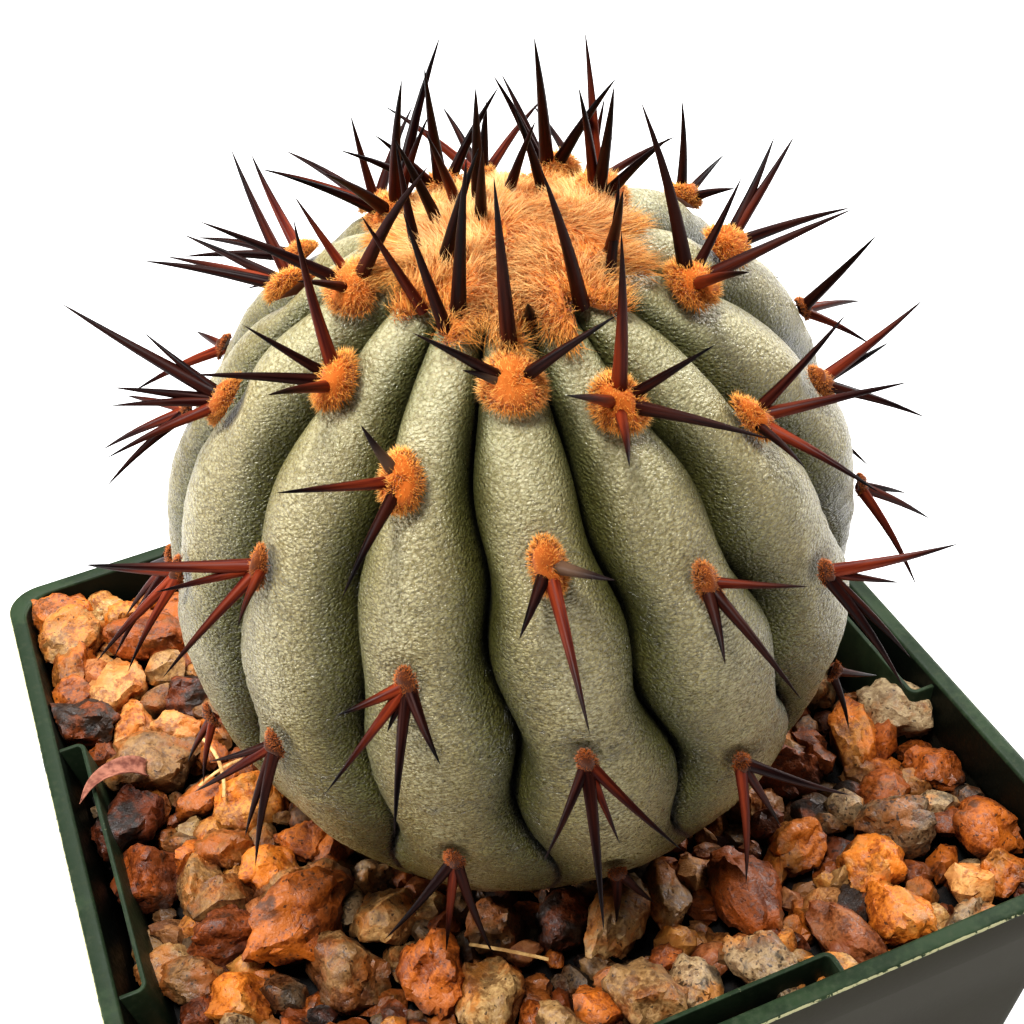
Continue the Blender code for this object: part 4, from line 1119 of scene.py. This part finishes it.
def place_pebbles(stones):
    """Fill the gaps with the shown small stones and many more, each at the roomiest of several spots."""
    draw = np.random.default_rng(STONE_SEED)
    pebbles = shown(SHOWN_PEBBLES, STONE_GROWTH)
    pebbles += [("grey", -46.9 * MM, 14.5 * MM, 1.1 * MM, 1.0 * MM, 0.4),
                ("tan", -46.8 * MM, 11.0 * MM, 1.1 * MM, 0.9 * MM, 1.4)]
    taken = np.array([(x, y, (half + wide) * 0.42) for kind, x, y, half, wide, turn in stones + pebbles])
    while len(pebbles) < PEBBLE_COUNT:
        half = PEBBLE_HALF[0] + (PEBBLE_HALF[1] - PEBBLE_HALF[0]) * draw.uniform() ** 1.4
        reach = inner_half(BED_TOP) - 0.7 * half - GAP
        spots = draw.uniform(-reach, reach, (60, 2))
        free = [not near_slot(x, y, 0.7 * half)
                and math.hypot(x - ROOT_PLACE[0], y - ROOT_PLACE[1]) > PEBBLE_ROOT_CLEAR for x, y in spots]
        spots = spots[np.array(free)]
        gaps = np.hypot(spots[:, None, 0] - taken[None, :, 0], spots[:, None, 1] - taken[None, :, 1])
        room = (gaps - taken[None, :, 2]).min(axis=1)
        x, y = spots[np.argmax(room)]
        taken = np.vstack((taken, (x, y, half * 0.75)))
        kind = COMMON_KINDS[int(draw.integers(len(COMMON_KINDS)))]
        pebbles.append((kind, x, y, half, half * draw.uniform(0.65, 0.95), draw.uniform(0.0, math.tau)))
    return pebbles


def chip_points(shape, stone, draw, lift, flat):
    """Stretch, tilt and seat one copy of a chip."""
    kind, x, y, half, wide, turn = stone
    high = (half + wide) / 2.0 * draw.uniform(*flat)
    tilt = Matrix.Rotation(draw.uniform(-0.35, 0.35), 3, "X")
    tilt = tilt @ Matrix.Rotation(draw.uniform(-0.25, 0.25), 3, "Y")
    spin = Matrix.Rotation(turn, 3, "Z")
    roll = Matrix.Rotation(draw.choice((0.0, math.pi)), 3, "X")
    low, top = shape[0].min(axis=0), shape[0].max(axis=0)
    centred = (shape[0] - (low + top) / 2.0) / ((top - low) / 2.0)
    moved = centred @ np.array(roll).T * (half, wide, high)
    full = CORNER_HEAP * max(0.0, min(1.0, (y - x - HEAP_START) / HEAP_REACH))
    points = moved @ np.array(spin @ tilt).T + (x, y, BED_TOP + lift * high + full)
    wall = (inner_half(points[:, 2]) - GAP)[:, None]
    points[:, :2] = np.clip(points[:, :2], -wall, wall)
    return points


def make_stones(materials):
    """Lay the large stones and the pebbles, one piece for each colour and size."""
    draw = random.Random(STONE_SEED + 1)
    stones = place_stones()
    pebbles = place_pebbles(stones)
    for label, faces, group, lifts, flat in (("chips", CHIP_FACES, stones, STONE_LIFT, (0.74, 0.94)),
                                             ("pebbles", PEBBLE_FACES, pebbles, (-0.9, 0.7), (0.7, 1.0))):
        shapes = [chip_shape(40 + number, faces) for number in range(CHIP_SHAPES)]
        made = {}
        for number, stone in enumerate(group):
            shape = shapes[number % CHIP_SHAPES]
            points = chip_points(shape, stone, draw, draw.uniform(*lifts), flat)
            made.setdefault(stone[0], []).append((points, shape[1], draw.uniform(0.0, 1.0)))
        for kind, copies in made.items():
            piece = join_shapes(label, [(points, faces) for points, faces, tone in copies])
            set_values(piece, "tone", np.concatenate([np.full(len(points), tone)
                                                      for points, faces, tone in copies]))
            smooth(piece, 38)
            finish_piece(piece, label + "_" + kind, materials[kind], "granite_gravel", "gravel")


def make_bed(material):
    """Lay the uneven grit under the stones, coloured near black as painted shade in the gaps."""
    half = inner_half(BED_FLOOR) - GAP
    bpy.ops.mesh.primitive_grid_add(x_subdivisions=90, y_subdivisions=90, size=2.0)
    bed = bpy.context.object
    flat = points_of(bed)
    points = flat * (half, half, 0.0)
    level = BED_TOP - BED_DROP + 0.7 * MM * ripple(points, 6.0 * MM, 12)
    level = np.minimum(level, BED_TOP + 1.0 * MM)
    points[:, :2] *= (inner_half(level) / inner_half(BED_FLOOR))[:, None]
    points[:, 2] = level
    set_points(bed, points)
    thick = bed.modifiers.new("depth", "SOLIDIFY")
    thick.thickness = BED_THICKNESS
    thick.offset = -1.0
    apply_all(bed)
    points = points_of(bed)
    wall = (inner_half(points[:, 2]) - GAP)[:, None]
    points[:, :2] = np.clip(points[:, :2], -wall, wall)
    set_points(bed, points)
    smooth(bed)
    return finish_piece(bed, "gravel_bed", material, "granite_gravel", "gravel")


def scrap_material(name, first, second):
    """Dry plant scraps with lengthwise streaks."""
    material, tree, shader, place = new_material(name, 0.7, Specular_IOR_Level=0.3)
    streak = noise(tree, place, 1.2 * MM, 3.0, 0.6)
    tree.links.new(mix(tree, ramp(tree, streak, 0.35, 0.65), first, second), shader.inputs["Base Color"])
    bump(tree, shader, streak, 0.2 * MM)
    return material


def along_line(points, shares):
    """Return places along a smooth line through some points, and its directions there."""
    knots = np.array(points) * MM
    at = np.linspace(0.0, 1.0, len(knots))
    curve = np.polyfit(at, knots, min(3, len(knots) - 1))
    places = np.stack([np.polyval(curve[:, axis], shares) for axis in range(3)], axis=1)
    slope = np.stack([np.polyval(np.polyder(curve[:, axis]), shares) for axis in range(3)], axis=1)
    return places, unit(slope)


def make_scraps():
    """Drop a curled husk and some straws on the gravel."""
    bpy.ops.mesh.primitive_grid_add(x_subdivisions=24, y_subdivisions=8, size=2.0)
    husk = bpy.context.object
    flat = points_of(husk)
    shares = (flat[:, 0] + 1.0) / 2.0
    places, ways = along_line(HUSK, shares)
    aside = unit(np.cross(ways, (0.0, 0.0, 1.0)))
    wide = HUSK_HALF_WIDTH * np.clip(shares, 0.002, 1.0) ** 0.85 * (1.02 - shares) ** 0.12
    rise = np.cross(aside, ways)
    curl = 0.45 * flat[:, 1] ** 2 + 0.10 * np.sin(9.0 * shares)
    set_points(husk, places + aside * (wide * flat[:, 1])[:, None] + rise * (wide * curl)[:, None])
    thick = husk.modifiers.new("thin", "SOLIDIFY")
    thick.thickness = HUSK_THICKNESS
    apply_all(husk)
    smooth(husk)
    finish_piece(husk, "dry_husk", scrap_material("dry husk", (104, 58, 46), (158, 104, 84)),
                 "granite_gravel", "gravel")
    for number, points in enumerate(STRAWS):
        bpy.ops.mesh.primitive_cylinder_add(vertices=8, radius=STRAW_RADIUS, depth=1.0)
        straw = bpy.context.object
        edit(straw)
        for cut in range(1, STRAW_CUTS):
            bpy.ops.mesh.select_all(action="SELECT")
            bpy.ops.mesh.bisect(plane_co=(0.0, 0.0, cut / STRAW_CUTS - 0.5), plane_no=(0.0, 0.0, 1.0))
        done()
        rod = points_of(straw)
        places, ways = along_line(points, rod[:, 2] + 0.5)
        aside = unit(np.cross(ways, (0.0, 0.0, 1.0)))
        rise = np.cross(aside, ways)
        set_points(straw, places + aside * rod[:, :1] + rise * rod[:, 1:2] * 0.6)
        smooth(straw, 40)
        material = scrap_material("dry straw", (168, 128, 78), (214, 178, 120))
        finish_piece(straw, "straw_%d" % number, material, "granite_gravel", "gravel")


# Pot


def pot_profile():
    """Return half widths and heights from the pot's foot, up the outside, over the rim and down inside."""
    outer_top = inner_half(POT_HEIGHT) - RIM_INSET + RIM_THICKNESS
    inner_top = inner_half(POT_HEIGHT) - RIM_INSET
    outer_low = inner_half(RIM_BOTTOM) - RIM_INSET + RIM_THICKNESS
    edge = RIM_ROUNDING
    rows = [(inner_half(0.6 * MM) + WALL, 0.6 * MM)]
    rows += [(inner_half(z * MM) + WALL, z * MM) for z in (20.0, 45.0, 68.0, 80.9)]
    rows += [(outer_low - 0.5 * MM, RIM_BOTTOM - 0.25 * MM), (outer_low - 0.1 * MM, RIM_BOTTOM)]
    rows += [(outer_low, RIM_BOTTOM + 0.35 * MM)]
    for step in range(7):
        angle = math.radians(90.0 * step / 6.0)
        rows.append((outer_top - edge + edge * math.cos(angle), POT_HEIGHT - edge + edge * math.sin(angle)))
    for step in range(5):
        angle = math.radians(90.0 * step / 4.0)
        rows.append((inner_top + edge - edge * math.sin(angle), POT_HEIGHT - edge + edge * math.cos(angle)))
    rows += [(inner_half(RIM_BOTTOM) - RIM_INSET, RIM_BOTTOM)]
    rows += [(inner_half(RIM_BOTTOM), RIM_BOTTOM - 0.6 * MM)]
    rows += [(inner_half(z * MM), z * MM) for z in (60.0, 30.0, 3.0)]
    rows += [(inner_half(WALL) - 1.2 * MM, WALL)]
    return rows


def square_half(points):
    """Half the width of the pot's rounded square that passes through each point."""
    beside = np.abs(points[:, :2])
    long, short = beside.max(axis=1), beside.min(axis=1)
    curve = FOOT_CORNER_RADIUS / (inner_half(0.0) + WALL - FOOT_STEP)
    flat = 1.0 - curve
    lead = 2.0 * flat ** 2 - curve ** 2
    both = flat * (long + short)
    under = np.maximum(both ** 2 - lead * (long ** 2 + short ** 2), 0.0)
    return np.where(short > flat * long, (both - np.sqrt(under)) / lead, long)


def make_pot(material):
    """Mould the pot: raise its rounded square foot along the wall's profile, then drill the drain holes."""
    foot = inner_half(0.0) + WALL - FOOT_STEP
    bpy.ops.mesh.primitive_plane_add(size=2.0 * foot)
    pot = bpy.context.object
    edit(pot)
    bpy.ops.mesh.bevel(offset=FOOT_CORNER_RADIUS, segments=CORNER_STEPS, affect="VERTICES")
    bpy.ops.mesh.select_all(action="SELECT")
    last_half, last_z = foot, 0.0
    for half, z in pot_profile():
        bpy.ops.mesh.extrude_region_move(TRANSFORM_OT_translate={"value": (0.0, 0.0, z - last_z)})
        grown = half / last_half
        bpy.ops.transform.resize(value=(grown, grown, 1.0), center_override=(0.0, 0.0, z))
        last_half, last_z = half, z
    bpy.ops.mesh.select_all(action="SELECT")
    bpy.ops.mesh.normals_make_consistent(inside=False)
    done()
    for side_x in (-1.0, 1.0):
        for side_y in (-1.0, 1.0):
            bpy.ops.mesh.primitive_cylinder_add(vertices=32, radius=DRAIN_RADIUS, depth=6.0 * WALL,
                                                location=(side_x * DRAIN_PLACE, side_y * DRAIN_PLACE, 0.0))
            drill = bpy.context.object
            hole = pot.modifiers.new("drain hole", "BOOLEAN")
            hole.object = drill
            hole.operation = "DIFFERENCE"
            apply_all(pot)
            bpy.data.objects.remove(drill, do_unlink=True)
    points = points_of(pot)
    half = square_half(points)
    edge = inner_half(POT_HEIGHT) - RIM_INSET + RIM_THICKNESS - RIM_ROUNDING
    wear = (points[:, 2] > POT_HEIGHT - RIM_ROUNDING + 0.05 * MM) & (half > edge + 0.28 * MM)
    inside = (half < inner_half(points[:, 2]) + 0.05 * MM) & (points[:, 2] < POT_HEIGHT - 0.3 * MM)
    # Below zero, the stored wear marks the inside for painted shade.
    set_values(pot, "wear", 0.85 * wear - 0.8 * inside)
    set_values(pot, "outer", ~inside & (points[:, 2] < POT_HEIGHT - RIM_ROUNDING + 0.02 * MM))
    smooth(pot, 35)
    return finish_piece(pot, "pot_shell", material, "pot_plastic", "pot")


def make_label_slots(material):
    """Add the slim U-shaped label holder inside the middle of each side."""
    front = INNER_HALF_TOP - RIM_INSET - SLOT_GAP
    back = INNER_HALF_TOP + SLOT_ROOT
    depth = back - front
    for number, side in enumerate(("back", "left", "front", "right")):
        middle = (0.0, front + depth / 2.0, (SLOT_TOP + SLOT_BOTTOM) / 2.0)
        bpy.ops.mesh.primitive_cube_add(size=1.0, location=middle,
                                        scale=(2.0 * SLOT_HALF_LENGTH, depth, SLOT_TOP - SLOT_BOTTOM))
        slot = bpy.context.object
        bpy.ops.object.transform_apply(location=True, rotation=True, scale=True)
        edit(slot, "FACE")
        choose(slot, "polygons", lambda corners: max(c.z for c in corners) - min(c.z for c in corners) < MM
               or min(c.y for c in corners) > back - MM / 10.0)
        bpy.ops.mesh.delete(type="FACE")
        bpy.ops.mesh.select_mode(type="EDGE")
        choose(slot, "edges", lambda ends: max(e.y for e in ends) < front + MM / 10.0
               and abs(ends[0].z - ends[1].z) > MM)
        bpy.ops.mesh.bevel(offset=SLOT_CORNER, segments=5, affect="EDGES")
        done()
        wall = slot.modifiers.new("wall", "SOLIDIFY")
        wall.thickness = SLOT_WALL
        wall.offset = 1.0
        wall.use_even_offset = True
        bevel = slot.modifiers.new("edges", "BEVEL")
        bevel.width = SLOT_EDGE
        bevel.segments = 3
        bevel.limit_method = "ANGLE"
        apply_all(slot)
        points = points_of(slot)
        # Wear along the slot's top edge; low in the slot the value runs below zero for painted shade.
        wear = (points[:, 2] > SLOT_TOP - 0.12 * MM) - 3.0 * (points[:, 2] < SLOT_TOP - 5.0 * MM)
        points[:, 1] += (points[:, 2] - POT_HEIGHT) * wall_slope()
        set_points(slot, points @ np.array(Matrix.Rotation(number * math.pi / 2.0, 3, "Z")).T)
        set_values(slot, "wear", wear * 0.2)
        smooth(slot, 35)
        finish_piece(slot, "label_slot_" + side, material, "pot_plastic", "pot")


# Setting


def make_setting():
    """Add the pale floor, the soft lights and the camera."""
    bpy.ops.mesh.primitive_plane_add(size=FLOOR_SIZE)
    floor = bpy.context.object
    floor.name = "floor"
    material, tree, shader, place = new_material("pale floor", 0.9, Specular_IOR_Level=0.1)
    cloudy = noise(tree, place, 0.4)
    tree.links.new(mix(tree, cloudy, (246, 246, 246), (250, 250, 250)), shader.inputs["Base Color"])
    floor.data.materials.append(material)
    world = bpy.data.worlds.new("studio")
    world.use_nodes = True
    tree = world.node_tree
    sky = tree.nodes["Background"]
    sky.inputs["Color"].default_value = (0.98, 0.99, 1.0, 1.0)
    seen = add_node(tree, "ShaderNodeLightPath").outputs["Is Camera Ray"]
    tree.links.new(ramp(tree, seen, 0.0, 1.0, ROOM_LIGHT, 1.1), sky.inputs["Strength"])
    bpy.context.scene.world = world
    for name, spot, size, power in LIGHTS:
        light = bpy.data.lights.new(name, "AREA")
        light.size = size
        light.energy = power
        lamp = bpy.data.objects.new(name, light)
        lamp.location = spot
        aim = Vector((0.0, 0.0, 0.1)) - lamp.location
        lamp.rotation_euler = aim.to_track_quat("-Z", "Y").to_euler()
        bpy.context.scene.collection.objects.link(lamp)
    back = Vector((math.sin(CAMERA_TURN) * math.cos(CAMERA_HEIGHT),
                   -math.cos(CAMERA_TURN) * math.cos(CAMERA_HEIGHT), math.sin(CAMERA_HEIGHT)))
    level = Vector((math.cos(CAMERA_TURN), math.sin(CAMERA_TURN), 0.0))
    above = back.cross(level)
    right = level * math.cos(CAMERA_ROLL) + above * math.sin(CAMERA_ROLL)
    up = above * math.cos(CAMERA_ROLL) - level * math.sin(CAMERA_ROLL)
    lens = bpy.data.cameras.new("camera")
    lens.lens = CAMERA_LENS
    lens.sensor_width = 36.0
    lens.clip_start = 0.01
    camera = bpy.data.objects.new("camera", lens)
    turned = Matrix((right, up, back)).transposed().to_4x4()
    turned.translation = CAMERA_TARGET + back * CAMERA_DISTANCE
    camera.matrix_world = turned
    bpy.context.scene.collection.objects.link(camera)
    bpy.context.scene.camera = camera
    bpy.context.scene.view_settings.view_transform = "Standard"
    bpy.context.scene.view_settings.look = "Medium High Contrast"


bpy.ops.object.select_all(action="DESELECT")
HAIR = thorn_shape(3, ())
LONG_HAIR = thorn_shape(3, (0.45,))
SPINE = thorn_shape(SPINE_SIDES, (0.06, 0.2, 0.35, 0.5, 0.65, 0.8, 0.92))

pot_plastic = pot_material()
make_pot(pot_plastic)
make_label_slots(pot_plastic)
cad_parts["soil"].data.materials.clear()
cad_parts["soil"].data.materials.append(soil_material())
make_bed(bed_material())
make_stones({kind: stone_material(kind) for kind in STONE_COLOURS})
make_scraps()
make_stem(skin_material())
make_areoles(felt_material(), spine_material())
make_setting()
